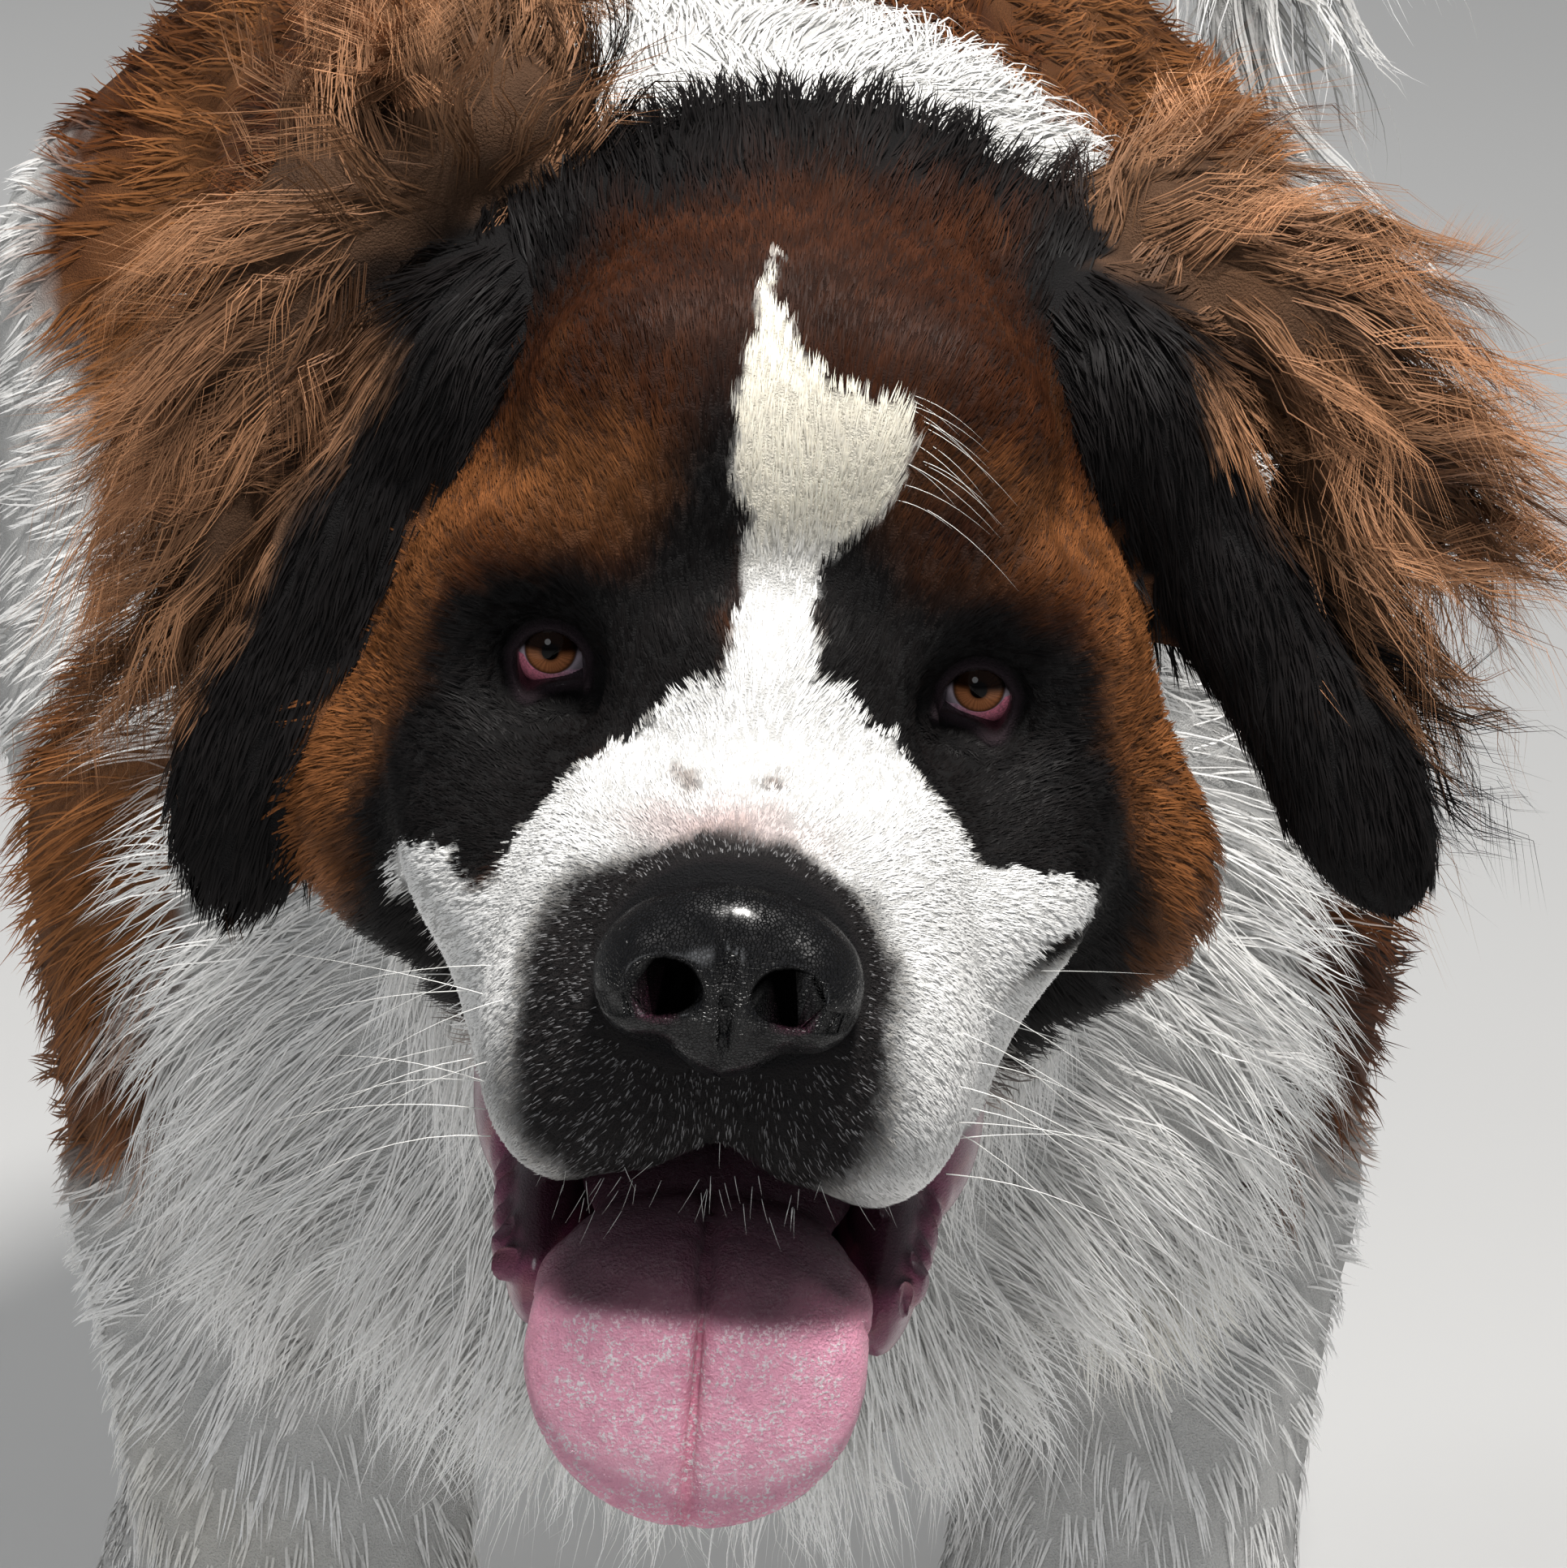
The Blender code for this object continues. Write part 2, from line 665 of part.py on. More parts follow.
def seat(tool, *neighbours):
    """Cuts each neighbour back by a tool that stands just proud of the part it was made from."""
    for other in neighbours:
        whole(without(other, tool))


def middle_on_floor(parts):
    """Moves the dog so that the middle of its outline stands over the origin."""
    places = [vert.co for part in parts for vert in part.data.vertices]
    low = [min(place[axis] for place in places) for axis in range(3)]
    high = [max(place[axis] for place in places) for axis in range(3)]
    shift = Matrix.Translation((-(low[0] + high[0]) / 2, -(low[1] + high[1]) / 2, -low[2]))
    for part in parts:
        part.data.transform(shift)


def build():
    flesh = build_flesh()
    head, jaw, neck, chest = (flesh[name] for name in ("head", "jaw", "neck", "chest"))
    ears = {side: build_ear(side) for side in SIDES}
    eyes = {side: build_eye(side) for side in SIDES}
    nose = build_small("nose", lay_nose, NOSE_VOXEL, NOSE_TRIANGLES)
    tongue = build_small("tongue", lay_tongue, TONGUE_VOXEL, TONGUE_TRIANGLES)
    skull = swollen(head)
    for side in SIDES:
        seat(swollen(ears[side]), neck, chest)
        seat(skull, ears[side])
        seat(swollen(eyes[side]), head)
    seat(swollen(nose), head)
    seat(swollen(tongue, 2 * GAP), head, jaw)
    for part in flesh.values():
        shaded(part, COAT)
    for side in SIDES:
        shaded(ears[side], EAR_COAT)
        shaded(eyes[side], EYE)
    shaded(nose, NOSE)
    shaded(tongue, TONGUE)
    middle_on_floor(list(DOG.objects))


clear_scene()
DOG = collection("saint_bernard")
CUTTERS = collection("cutters")
COAT = material("coat", (0.78, 0.72, 0.66), 0.85)
EAR_COAT = material("ear_coat", (0.22, 0.11, 0.06), 0.85)
EYE = material("eye", (0.16, 0.07, 0.02), 0.15)
NOSE = material("nose_leather", (0.02, 0.02, 0.022), 0.35)
TONGUE = material("tongue", (0.75, 0.30, 0.38), 0.4)
build()
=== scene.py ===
"""A long-haired Saint Bernard as a life-size still model.

One skin is modelled over the whole animal from blended masses, the same ones as the solids but
sunk by the depth of the coat. The coat is laid over it in tufts of thin tapering hairs that follow
the lie of the hair. Eyes, nose leather, tongue, whiskers and claws are pieces of their own.

Masses are given in centimetres as a place (across, forward, up) and full sizes in the same order.
Body masses are measured from the floor under the dog, head masses from midway between its eyes.
+Z is up and the dog faces -Y, so +X is its left side. Everything built is in metres.
"""
import json
import math

import bmesh
import bpy
import numpy as np
from mathutils import Matrix, Vector

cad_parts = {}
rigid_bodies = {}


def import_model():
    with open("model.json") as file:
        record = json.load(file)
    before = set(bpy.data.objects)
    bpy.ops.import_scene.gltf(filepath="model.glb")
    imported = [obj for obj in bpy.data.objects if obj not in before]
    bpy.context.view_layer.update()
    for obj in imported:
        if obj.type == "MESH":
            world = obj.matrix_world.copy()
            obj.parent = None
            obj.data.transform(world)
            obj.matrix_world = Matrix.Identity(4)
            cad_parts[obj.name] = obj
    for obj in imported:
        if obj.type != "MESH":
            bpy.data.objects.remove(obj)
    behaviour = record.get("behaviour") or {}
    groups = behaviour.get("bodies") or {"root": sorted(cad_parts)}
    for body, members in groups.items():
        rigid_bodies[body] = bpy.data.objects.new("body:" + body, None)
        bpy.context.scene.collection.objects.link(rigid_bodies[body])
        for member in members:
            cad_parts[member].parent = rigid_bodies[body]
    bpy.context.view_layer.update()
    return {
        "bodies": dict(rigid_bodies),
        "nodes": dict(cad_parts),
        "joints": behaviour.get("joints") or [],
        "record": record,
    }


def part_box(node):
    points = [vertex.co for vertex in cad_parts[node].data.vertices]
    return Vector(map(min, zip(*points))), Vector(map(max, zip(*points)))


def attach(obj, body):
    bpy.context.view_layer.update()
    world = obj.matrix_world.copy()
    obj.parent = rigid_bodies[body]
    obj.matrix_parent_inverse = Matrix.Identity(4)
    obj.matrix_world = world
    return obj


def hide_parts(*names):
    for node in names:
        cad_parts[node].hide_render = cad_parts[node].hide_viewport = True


bl_info = {
    "name": "Saint Bernard",
    "version": (1, 0, 0),
    "blender": (4, 5, 0),
    "location": "3D View > Sidebar > Saint Bernard",
    "description": "Builds the skin, coat and features of a standing Saint Bernard",
    "category": "Object",
}

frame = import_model()

CM = 0.01
SIDES = {"left": 1.0, "right": -1.0}

# How the head is held, as in the solids, in degrees.
HEAD_PITCH_UP = 1.0
HEAD_TILT = 4.5
HEAD_TURN = -4.6
# Where the point between the eyes lies from the middle of the floor under the dog, in metres.
EYE_REACH = 0.68
EYE_HEIGHT = 0.71
# How far out each eye lies, and its radius, in centimetres.
EYE_ACROSS = 5.3
EYE_RADIUS = 1.2

# Where the paws stand, as (across, forward), and how broad they are.
FORE_STATION = (12.0, 30.0)
HIND_STATION = (14.8, -38.0)
PAW_WIDTH = 10.4

FLESH_NODES = (
    "head", "jaw", "neck", "chest", "hindquarters", "tail_root", "tail_brush",
    "foreleg_left", "foreleg_right", "forepaw_left", "forepaw_right",
    "hindleg_left", "hindleg_right", "hindpaw_left", "hindpaw_right",
    "ear_left", "ear_right",
)

# What the operators hand on to one another.
MODEL = {}


def measure(name, description, default, unit="LENGTH"):
    return bpy.props.FloatProperty(
        name=name, description=description, default=default, unit=unit, precision=4
    )


def colour(name, description, default):
    return bpy.props.FloatVectorProperty(
        name=name, description=description, default=default, size=3, subtype="COLOR",
        min=0.0, max=1.0,
    )


class SaintBernardSizes(bpy.types.PropertyGroup):
    """Sizes in metres, the angles of the view and the size of the coat"""

    skin_step: measure("Skin step", "Spacing of the skin's mesh on the body", 0.0072)
    nose_step: measure("Nose step", "Spacing of the nose leather's mesh", 0.0008)
    tongue_step: measure("Tongue step", "Spacing of the tongue's mesh", 0.0013)
    iris_radius: measure("Iris radius", "Radius of the coloured ring of the eye", 0.0064)
    pupil_radius: measure("Pupil radius", "Radius of the pupil", 0.0021)
    whisker_length: measure("Whisker length", "Length of the longest whiskers", 0.085)
    whisker_width: measure("Whisker width", "Thickness of a whisker at its root", 0.00034)
    view_distance: measure("View distance", "From the camera to the eyes", 2.8)
    view_azimuth: measure("View azimuth", "Camera's turn about the dog, in degrees", -2.0, "NONE")
    view_elevation: measure("View elevation", "Camera's rise above level, in degrees", 19.0, "NONE")
    coat_triangles: bpy.props.IntProperty(
        name="Coat triangles", description="Triangles of the whole coat", default=1420000
    )


class SaintBernardColours(bpy.types.PropertyGroup):
    """Colours of hair, bare skin, eyes and floor"""

    white: colour("White", "White hair", (0.87, 0.865, 0.85))
    cream: colour("Cream", "Tinted white hair of the blaze", (0.86, 0.79, 0.62))
    orange: colour("Orange", "Lightest mantle hair", (0.36, 0.150, 0.055))
    mahogany: colour("Mahogany", "Red-brown hair of face and mantle", (0.092, 0.028, 0.0085))
    dark: colour("Dark brown", "Darkest red-brown hair", (0.026, 0.009, 0.0045))
    black: colour("Black", "Black hair", (0.0070, 0.0062, 0.0064))
    ear_brown: colour("Ear brown", "Long wavy hair of the ears", (0.36, 0.185, 0.10))
    flesh: colour("Flesh", "Bare pink skin", (0.36, 0.13, 0.16))
    lip: colour("Lip", "Dark wet lips", (0.21, 0.048, 0.105))
    tongue: colour("Tongue", "The tongue", (0.98, 0.43, 0.60))
    nose: colour("Nose", "Nose leather", (0.0045, 0.0044, 0.0052))
    iris: colour("Iris", "Amber of the iris", (0.36, 0.135, 0.055))
    sclera: colour("Sclera", "White of the eye", (0.58, 0.49, 0.56))
    haw: colour("Haw", "Inner lid", (1.0, 0.30, 0.42))
    horn: colour("Horn", "Claws", (0.06, 0.048, 0.04))
    floor: colour("Floor", "Studio floor", (0.56, 0.56, 0.56))


def sizes():
    return bpy.context.scene.saint_bernard_sizes


def tone(name):
    return np.array(getattr(bpy.context.scene.saint_bernard_colours, name))


def all_over(places, name, strength=1.0):
    """One colour for every place."""
    return np.tile(tone(name) * strength, (len(places), 1))


# Frames of reference.

def turned(lean, splay, twist=0.0):
    """lean tips a mass forward, splay tips its top outward, twist turns it about the vertical."""
    return (
        Matrix.Rotation(math.radians(twist), 4, "Z")
        @ Matrix.Rotation(math.radians(splay), 4, "Y")
        @ Matrix.Rotation(math.radians(lean), 4, "X")
    )


def place_frames():
    """Finds the head's frame from the eyes of the solids, and the floor's from the head's."""
    eyes = Vector()
    for side in SIDES:
        low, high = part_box("eye_" + side)
        eyes += (Vector(low) + Vector(high)) / 4
    turn = turned(-HEAD_PITCH_UP, HEAD_TILT, HEAD_TURN)
    head = Matrix.Translation(eyes - turn.to_3x3() @ Vector((0.0, EYE_RADIUS * CM, 0.0))) @ turn
    floor = Matrix.Translation(head.translation - Vector((0.0, -EYE_REACH, EYE_HEIGHT)))
    return head, floor


HEAD_FRAME, FLOOR_FRAME = place_frames()


# Forward in a frame is -Y in the world.
FORWARD_TURNED = (1.0, -1.0, 1.0)


def spot(frame, across, forward, up):
    return frame @ Vector((across * CM, -forward * CM, up * CM))


def seen_from(frame, points):
    """Points in metres as (across, forward, up) in centimetres of a frame."""
    turn = np.array(frame.to_3x3())
    local = (points - np.array(frame.translation)) @ turn / CM
    return local * FORWARD_TURNED


def places_from(frame, local):
    """A frame's (across, forward, up) in centimetres as points in metres."""
    return (local * FORWARD_TURNED * CM) @ np.array(frame.to_3x3()).T + np.array(frame.translation)


def ways_from(frame, ways):
    """Directions of a frame's (across, forward, up) as directions in the world."""
    return (ways * FORWARD_TURNED) @ np.array(frame.to_3x3()).T


# Noise and blending for numbers in arrays.

def ripple(points, scale, seed, waves=7):
    """Smooth wandering between about -1 and 1, with bumps about as broad as scale."""
    rng = np.random.default_rng(seed)
    total = np.zeros(len(points))
    for _ in range(waves):
        way = rng.normal(size=3)
        way *= (2 * math.pi / scale) * rng.uniform(0.5, 1.3) / np.linalg.norm(way)
        total += np.sin(points @ way + rng.uniform(0, 2 * math.pi))
    return total / math.sqrt(waves)


def wandering(points, scale, seed):
    """Smooth wandering in each of the three directions."""
    return np.column_stack([ripple(points, scale, seed + axis) for axis in range(3)])


def ease(low, high, values):
    share = np.clip((values - low) / (high - low), 0.0, 1.0)
    return share * share * (3 - 2 * share)


def blended(first, second, share):
    return first + (second - first) * share[:, None]


def blended_numbers(first, second, share):
    return first + (second - first) * share


def unit(ways):
    return ways / np.maximum(np.linalg.norm(ways, axis=1, keepdims=True), 1e-9)


# Coats: how deep the skin lies under the hair tips, how long, broad, lifted and wavy the hair is,
# how thickly it covers and how bare the skin is. Lengths in centimetres, lift in degrees.
FUR = ("depth", "length", "width", "lift", "wave", "cover", "bare")
MUZZLE = (0.18, 0.45, 0.034, 6, 0.0, 2.7, 0)
FACE = (0.20, 0.62, 0.037, 7, 0.0, 2.8, 0)
BROW = (0.20, 0.55, 0.036, 7, 0.0, 2.8, 0)
CHEEK = (0.38, 1.15, 0.050, 9, 0.02, 3.0, 0)
JOWL = (0.75, 3.2, 0.055, 20, 0.18, 3.1, 0)
CROWN = (0.50, 2.0, 0.050, 15, 0.06, 3.6, 0)
CREST = (0.50, 3.3, 0.046, 24, 0.14, 3.6, 0)
CHIN = (0.20, 1.1, 0.060, 12, 0.05, 2.4, 0)
LIP = (0.02, 0.3, 0.05, 8, 0.0, 0.0, 1)
FLAP = (0.25, 1.6, 0.060, 9, 0.03, 3.3, 0)
EAR_HAIR = (1.2, 6.2, 0.038, 14, 0.95, 6.0, 0)
RUFF = (2.4, 6.2, 0.062, 10, 0.10, 2.7, 0)
BIB = (2.6, 7.2, 0.058, 10, 0.18, 2.9, 0)
MANTLE = (1.7, 4.8, 0.082, 11, 0.14, 1.25, 0)
BELLY = (1.6, 5.5, 0.150, 18, 0.28, 1.5, 0)
LEG = (0.6, 2.0, 0.085, 9, 0.04, 0.85, 0)
FEATHER = (1.8, 6.0, 0.110, 22, 0.40, 2.5, 0)
BREECHES = (2.8, 8.5, 0.130, 20, 0.42, 2.5, 0)
PAW = (0.30, 1.0, 0.075, 9, 0.0, 1.1, 0)
TAIL = (0.0, 9.5, 0.120, 28, 0.50, 4.4, 0)

# The parts of the body that each get their own place on the skin's flat unwrap.
REGIONS = (
    "head", "ear_right", "ear_left", "trunk", "foreleg_right", "foreleg_left",
    "hindleg_right", "hindleg_left", "tail",
)
HEAD, TRUNK, TAIL_END = (REGIONS.index(part) for part in ("head", "trunk", "tail"))
EAR_SIDES = {REGIONS.index("ear_right"): -1.0, REGIONS.index("ear_left"): 1.0}

# Beyond this a mass has no part in a place.
FAR = 0.05
# How far apart the heights are taken that give the skin's slope.
SLOPE_STEP = 0.0003
# How softly the runs of one limb join.
LIMB_BLEND = 0.01
# The thinnest that the coat's depth leaves a mass: a share of an ellipsoid, a radius of a limb.
LEAST_SHARE = 0.3
LEAST_RADIUS = 0.004


def join_share(surface, laid, blend):
    return np.clip(0.5 + 0.5 * (surface - laid) / blend, 0.0, 1.0)


class Form:
    """What every mass has: how softly it blends, its coat and the part of the body it shapes."""

    def dress(self, blend, carve, fur, region):
        self.blend = blend * CM
        self.carve = carve
        self.fur = np.array(fur, float)
        self.region = region


class Ellipsoid(Form):
    def __init__(self, frame, at, size, lean, splay):
        self.place = Matrix.Translation(spot(frame, *at)) @ (
            frame.to_3x3() @ turned(lean, splay).to_3x3()
        ).to_4x4()
        self.radii = np.array(size) * CM / 2

    def shape(self, bm):
        sunk = np.maximum(self.radii - self.fur[0] * CM, self.radii * LEAST_SHARE)
        grown = self.place @ Matrix.Diagonal((*sunk, 1.0))
        add_primitive(
            bm, bmesh.ops.create_uvsphere, u_segments=32, v_segments=20, radius=1.0, matrix=grown
        )

    def span(self):
        reach = np.abs(np.array(self.place.to_3x3())) @ self.radii
        centre = np.array(self.place.translation)
        return centre - reach, centre + reach

    def distance(self, points):
        axes = np.array(self.place.to_3x3())
        local = (points - np.array(self.place.translation)) @ axes
        near = np.linalg.norm(local / self.radii, axis=1)
        slope = np.linalg.norm(local / self.radii**2, axis=1)
        return near * (near - 1.0) / np.maximum(slope, 1e-6)


class Limb(Form):
    """A tapering run of round sections through (across, forward, up, radius) stations."""

    def __init__(self, frame, route):
        self.stations = [(spot(frame, *stop[:3]), stop[3] * CM) for stop in route]

    def shape(self, bm):
        depth = self.fur[0] * CM
        sunk = [(centre, max(radius - depth, LEAST_RADIUS)) for centre, radius in self.stations]
        for centre, radius in sunk:
            add_primitive(
                bm, bmesh.ops.create_uvsphere, u_segments=24, v_segments=14, radius=radius,
                matrix=Matrix.Translation(centre),
            )
        for (start, wide), (end, narrow) in zip(sunk, sunk[1:]):
            along = end - start
            turn = along.to_track_quat("Z", "Y").to_matrix().to_4x4()
            add_primitive(
                bm, bmesh.ops.create_cone, cap_ends=True, segments=24, radius1=wide, radius2=narrow,
                depth=along.length, matrix=Matrix.Translation((start + end) / 2) @ turn,
            )

    def span(self):
        centres = np.array([tuple(centre) for centre, _ in self.stations])
        radii = np.array([[radius] for _, radius in self.stations])
        return (centres - radii).min(axis=0), (centres + radii).max(axis=0)

    def distance(self, points):
        nearest = None
        for (start, wide), (end, narrow) in zip(self.stations, self.stations[1:]):
            along = np.array(end - start)
            share = np.clip((points - np.array(start)) @ along / (along @ along), 0.0, 1.0)
            off = points - np.array(start) - share[:, None] * along
            reach = np.linalg.norm(off, axis=1) - (wide * (1 - share) + narrow * share)
            if nearest is None:
                nearest = reach
            else:
                mix = join_share(nearest, reach, LIMB_BLEND)
                nearest = nearest * (1 - mix) + reach * mix - LIMB_BLEND * mix * (1 - mix)
        return nearest


def add_primitive(bm, create, **measures):
    """Adds one primitive to a mesh that already holds others."""
    one = bmesh.new()
    create(one, **measures)
    mesh = bpy.data.meshes.new("primitive")
    one.to_mesh(mesh)
    one.free()
    bm.from_mesh(mesh)
    bpy.data.meshes.remove(mesh)


class Clay:
    """Masses laid on one another in order."""

    def __init__(self, frame):
        self.frame = frame
        self.fur = MUZZLE
        self.region = 0
        self.forms = []

    def mass(self, at, size, lean=0.0, splay=0.0, blend=1.2, carve=False, fur=None):
        form = Ellipsoid(self.frame, at, size, lean, splay)
        form.dress(blend, carve, fur or self.fur, self.region)
        self.forms.append(form)

    def enter(self, regions, side):
        if regions:
            self.region = REGIONS.index(regions + "_" + side)

    def pair(self, at, size, lean=0.0, splay=0.0, blend=1.2, carve=False, fur=None, regions=None):
        """The same mass on the left and, mirrored, on the right."""
        for side, sign in SIDES.items():
            self.enter(regions, side)
            self.mass((sign * at[0], *at[1:]), size, lean, sign * splay, blend, carve, fur)

    def limb(self, route, blend=1.2, fur=None):
        form = Limb(self.frame, route)
        form.dress(blend, False, fur or self.fur, self.region)
        self.forms.append(form)

    def pair_limb(self, route, blend=1.2, fur=None, regions=None):
        for side, sign in SIDES.items():
            self.enter(regions, side)
            self.limb([(sign * stop[0], *stop[1:]) for stop in route], blend, fur)

    def sample(self, points, columns=1):
        """The blended level at each point, its blended coat, and the part of the body it is on."""
        level = np.full(len(points), FAR)
        best = np.full(len(points), FAR)
        region = np.zeros(len(points), int)
        fur = np.tile(np.array(MUZZLE[:columns], float), (len(points), 1))
        for form in self.forms:
            low, high = form.span()
            margin = form.blend + FAR / 2
            near = np.flatnonzero(((points > low - margin) & (points < high + margin)).all(axis=1))
            if not len(near):
                continue
            laid = form.distance(points[near])
            old = level[near]
            if form.carve:
                mix = np.clip(0.5 - 0.5 * (old + laid) / form.blend, 0.0, 1.0)
                level[near] = old * (1 - mix) - laid * mix + form.blend * mix * (1 - mix)
                continue
            mix = join_share(old, laid, form.blend)
            level[near] = old * (1 - mix) + laid * mix - form.blend * mix * (1 - mix)
            fur[near] = fur[near] * (1 - mix[:, None]) + form.fur[:columns] * mix[:, None]
            closer = laid < best[near]
            best[near[closer]] = laid[closer]
            region[near[closer]] = form.region
        return level, fur, region

    def height(self, points):
        """How far each point stands above the skin, which lies under the hair tips."""
        level, fur, _ = self.sample(points)
        return level + fur[:, 0] * CM

    def settle(self, points, passes, step):
        """Draws points onto the skin, by the heights at four corners about each."""
        for _ in range(passes):
            out = np.zeros_like(points)
            middle = np.zeros(len(points))
            for corner in ((1, -1, -1), (-1, -1, 1), (-1, 1, -1), (1, 1, 1)):
                way = np.array(corner, float)
                height = self.height(points + SLOPE_STEP * way)
                out += height[:, None] * way / (4 * SLOPE_STEP)
                middle += height / 4
            steep = np.maximum((out * out).sum(axis=1), 0.2)
            points = points - out * np.clip(middle / steep, -step, step)[:, None]
        return points


# The masses of the animal.

def lay_head(clay):
    # Braincase, forehead and the crest of hair over the nape.
    clay.mass((0, -9.0, 2.8), (14.4, 19, 14.4), blend=2, fur=CROWN)
    clay.mass((0, -12.2, 7.8), (13.0, 9.4, 8.0), blend=3, fur=CREST)
    clay.pair((6.3, -11.5, 6.2), (5.6, 8.5, 7.6), blend=2, fur=CROWN)
    clay.mass((0, -3.6, 4.2), (13.2, 9.4, 10.4), blend=2.5, fur=FACE)
    clay.mass((0, -8.0, 5.8), (12.8, 11, 8.0), blend=3, fur=FACE)
    clay.pair((3.3, -1.8, 5.6), (6.0, 5.6, 6.4), blend=2, fur=FACE)
    clay.pair((5.2, -6.5, 1.4), (5.2, 9, 8.4), blend=2, fur=CHEEK)
    # Brows, and the bone and loose flesh about the eyes.
    clay.pair((4.6, -0.3, 2.8), (5.6, 3.0, 3.0), splay=6, blend=1.8, fur=BROW)
    clay.pair((6.7, -2.2, 0.4), (4.0, 5.2, 5.4), blend=1.6, fur=FACE)
    clay.pair((5.8, -1.0, -2.9), (6.6, 4.8, 4.4), blend=1.6, fur=BROW)
    clay.pair((2.7, 0.4, -0.6), (4.2, 5.0, 4.6), blend=2.4, fur=BROW)
    # Cheeks, with the hair that hangs from them.
    clay.pair((6.2, -5.6, -2.2), (7.6, 11, 11), blend=2, fur=CHEEK)
    clay.pair((7.6, -5.6, -6.0), (8.4, 9, 8.4), blend=2, fur=CHEEK)
    clay.pair((9.0, -7.6, -7.2), (6.0, 6, 6.0), splay=-12, blend=2, fur=JOWL)
    # Short square muzzle with deep flews.
    clay.mass((0, 4.9, -3.3), (6.8, 13.4, 6.2), blend=1.8, fur=MUZZLE)
    clay.pair((2.5, 5.4, -5.9), (6.6, 12.0, 6.6), blend=1.8, fur=MUZZLE)
    clay.pair((3.8, 5.8, -8.2), (4.8, 10.0, 6.2), splay=4, blend=1.4, fur=MUZZLE)
    clay.pair((2.1, 9.0, -7.6), (4.8, 4.6, 4.8), blend=1.2, fur=MUZZLE)
    clay.pair((2.9, 3.6, -3.5), (4.4, 7.6, 4.4), blend=2.2, fur=MUZZLE)
    clay.mass((0, 9.4, -4.0), (6.4, 4.0, 5.0), blend=1.2, fur=MUZZLE)
    clay.pair((5.1, 1.4, -7.2), (3.8, 7.6, 7.6), blend=1.4, fur=MUZZLE)
    clay.pair((6.0, 0.9, -4.9), (5.2, 6.4, 4.6), blend=2.4, fur=MUZZLE)


def lay_lids(clay):
    """Sunken sockets, lids that lie round the eyeballs, and the folds above and below them."""
    clay.mass((0, 1.4, -0.6), (4.8, 6.0, 5.4), blend=1.8, fur=BROW)
    clay.pair((EYE_ACROSS, 1.15, -0.3), (2.7, 1.9, 1.7), splay=-6, blend=1.2, carve=True)
    clay.pair((EYE_ACROSS, -EYE_RADIUS, 0.0), (2.84, 2.84, 2.84), blend=0.35, fur=BROW)
    clay.pair((5.35, 0.05, 1.45), (3.2, 1.2, 0.8), splay=4, blend=0.35, fur=BROW)
    clay.pair((5.5, 0.1, -1.5), (3.0, 1.1, 0.9), splay=6, blend=0.45, fur=BROW)
    clay.pair((4.05, 0.55, -0.5), (0.9, 0.9, 1.3), splay=-24, blend=0.5, fur=BROW)


def lay_jaw(clay):
    """The dropped lower jaw, its loose bare lips and the throat behind it."""
    clay.mass((0, 2.6, -14.6), (8.6, 11.6, 3.2), lean=8, blend=1.2, fur=CHIN)
    clay.pair((4.2, 3.2, -13.2), (2.2, 9.0, 4.6), lean=12, blend=0.9, fur=LIP)
    clay.pair((5.3, 0.2, -10.9), (2.2, 6, 4.6), lean=24, blend=0.9, fur=LIP)
    clay.mass((0, -1.0, -14.0), (9.0, 10, 5.4), lean=14, blend=2, fur=CHIN)
    clay.mass((0, -7.5, -9.8), (16, 13, 13), blend=3, fur=JOWL)


def lay_lips(clay):
    """The scalloped fleshy edge of each lower lip."""
    for side in SIDES.values():
        for step in range(9):
            forward = 7.0 - step * 0.85
            clay.mass(
                (side * (5.0 + 0.06 * step), forward, -13.5 + step * 0.24),
                (0.7, 0.72, 1.0 + 0.5 * (step % 2)), lean=12, blend=0.3, fur=LIP,
            )


def lay_ears(clay):
    """Hanging leather lobes, and the cores under the long wind-blown hair of their upper halves."""
    clay.region = REGIONS.index("ear_right")
    clay.mass((-8.6, -8.8, 4.6), (5.0, 6.0, 7.6), splay=28, blend=1.5, fur=FLAP)
    clay.mass((-10.9, -7.8, -0.6), (5.0, 3.6, 10.5), splay=18, blend=1.2, fur=FLAP)
    clay.mass((-12.6, -7.4, -5.8), (5.2, 2.8, 8.6), splay=10, blend=1.2, fur=FLAP)
    clay.mass((-13.0, -11.2, 3.8), (7.0, 7.6, 12.0), splay=12, blend=1, fur=EAR_HAIR)
    clay.mass((-14.2, -10.2, -1.0), (4.2, 6.0, 8.4), splay=6, blend=1, fur=EAR_HAIR)
    clay.mass((-8.2, -12.6, 10.2), (7.6, 8.0, 6.6), splay=-30, blend=1, fur=EAR_HAIR)
    clay.mass((-11.0, -12.2, 8.0), (7.4, 7.4, 7.0), blend=2, fur=EAR_HAIR)
    clay.region = REGIONS.index("ear_left")
    clay.mass((8.8, -8.8, 5.4), (5.4, 6.0, 7.6), splay=-38, blend=1.5, fur=FLAP)
    clay.mass((11.6, -7.8, 0.7), (4.2, 3.4, 11.0), splay=-32, blend=1.2, fur=FLAP)
    clay.mass((14.8, -7.4, -3.9), (4.2, 2.8, 8.0), splay=-29, blend=1.2, fur=FLAP)
    clay.mass((12.0, -11.4, 6.8), (9.4, 8.0, 7.4), splay=30, blend=1, fur=EAR_HAIR)
    clay.mass((14.8, -10.8, 3.2), (6.6, 6.4, 7.2), splay=36, blend=1, fur=EAR_HAIR)
    clay.mass((14.0, -10.4, 0.2), (5.0, 5.0, 9.0), splay=-22, blend=1, fur=EAR_HAIR)
    clay.mass((9.4, -12.4, 9.0), (7.0, 7.0, 5.6), splay=30, blend=2, fur=EAR_HAIR)


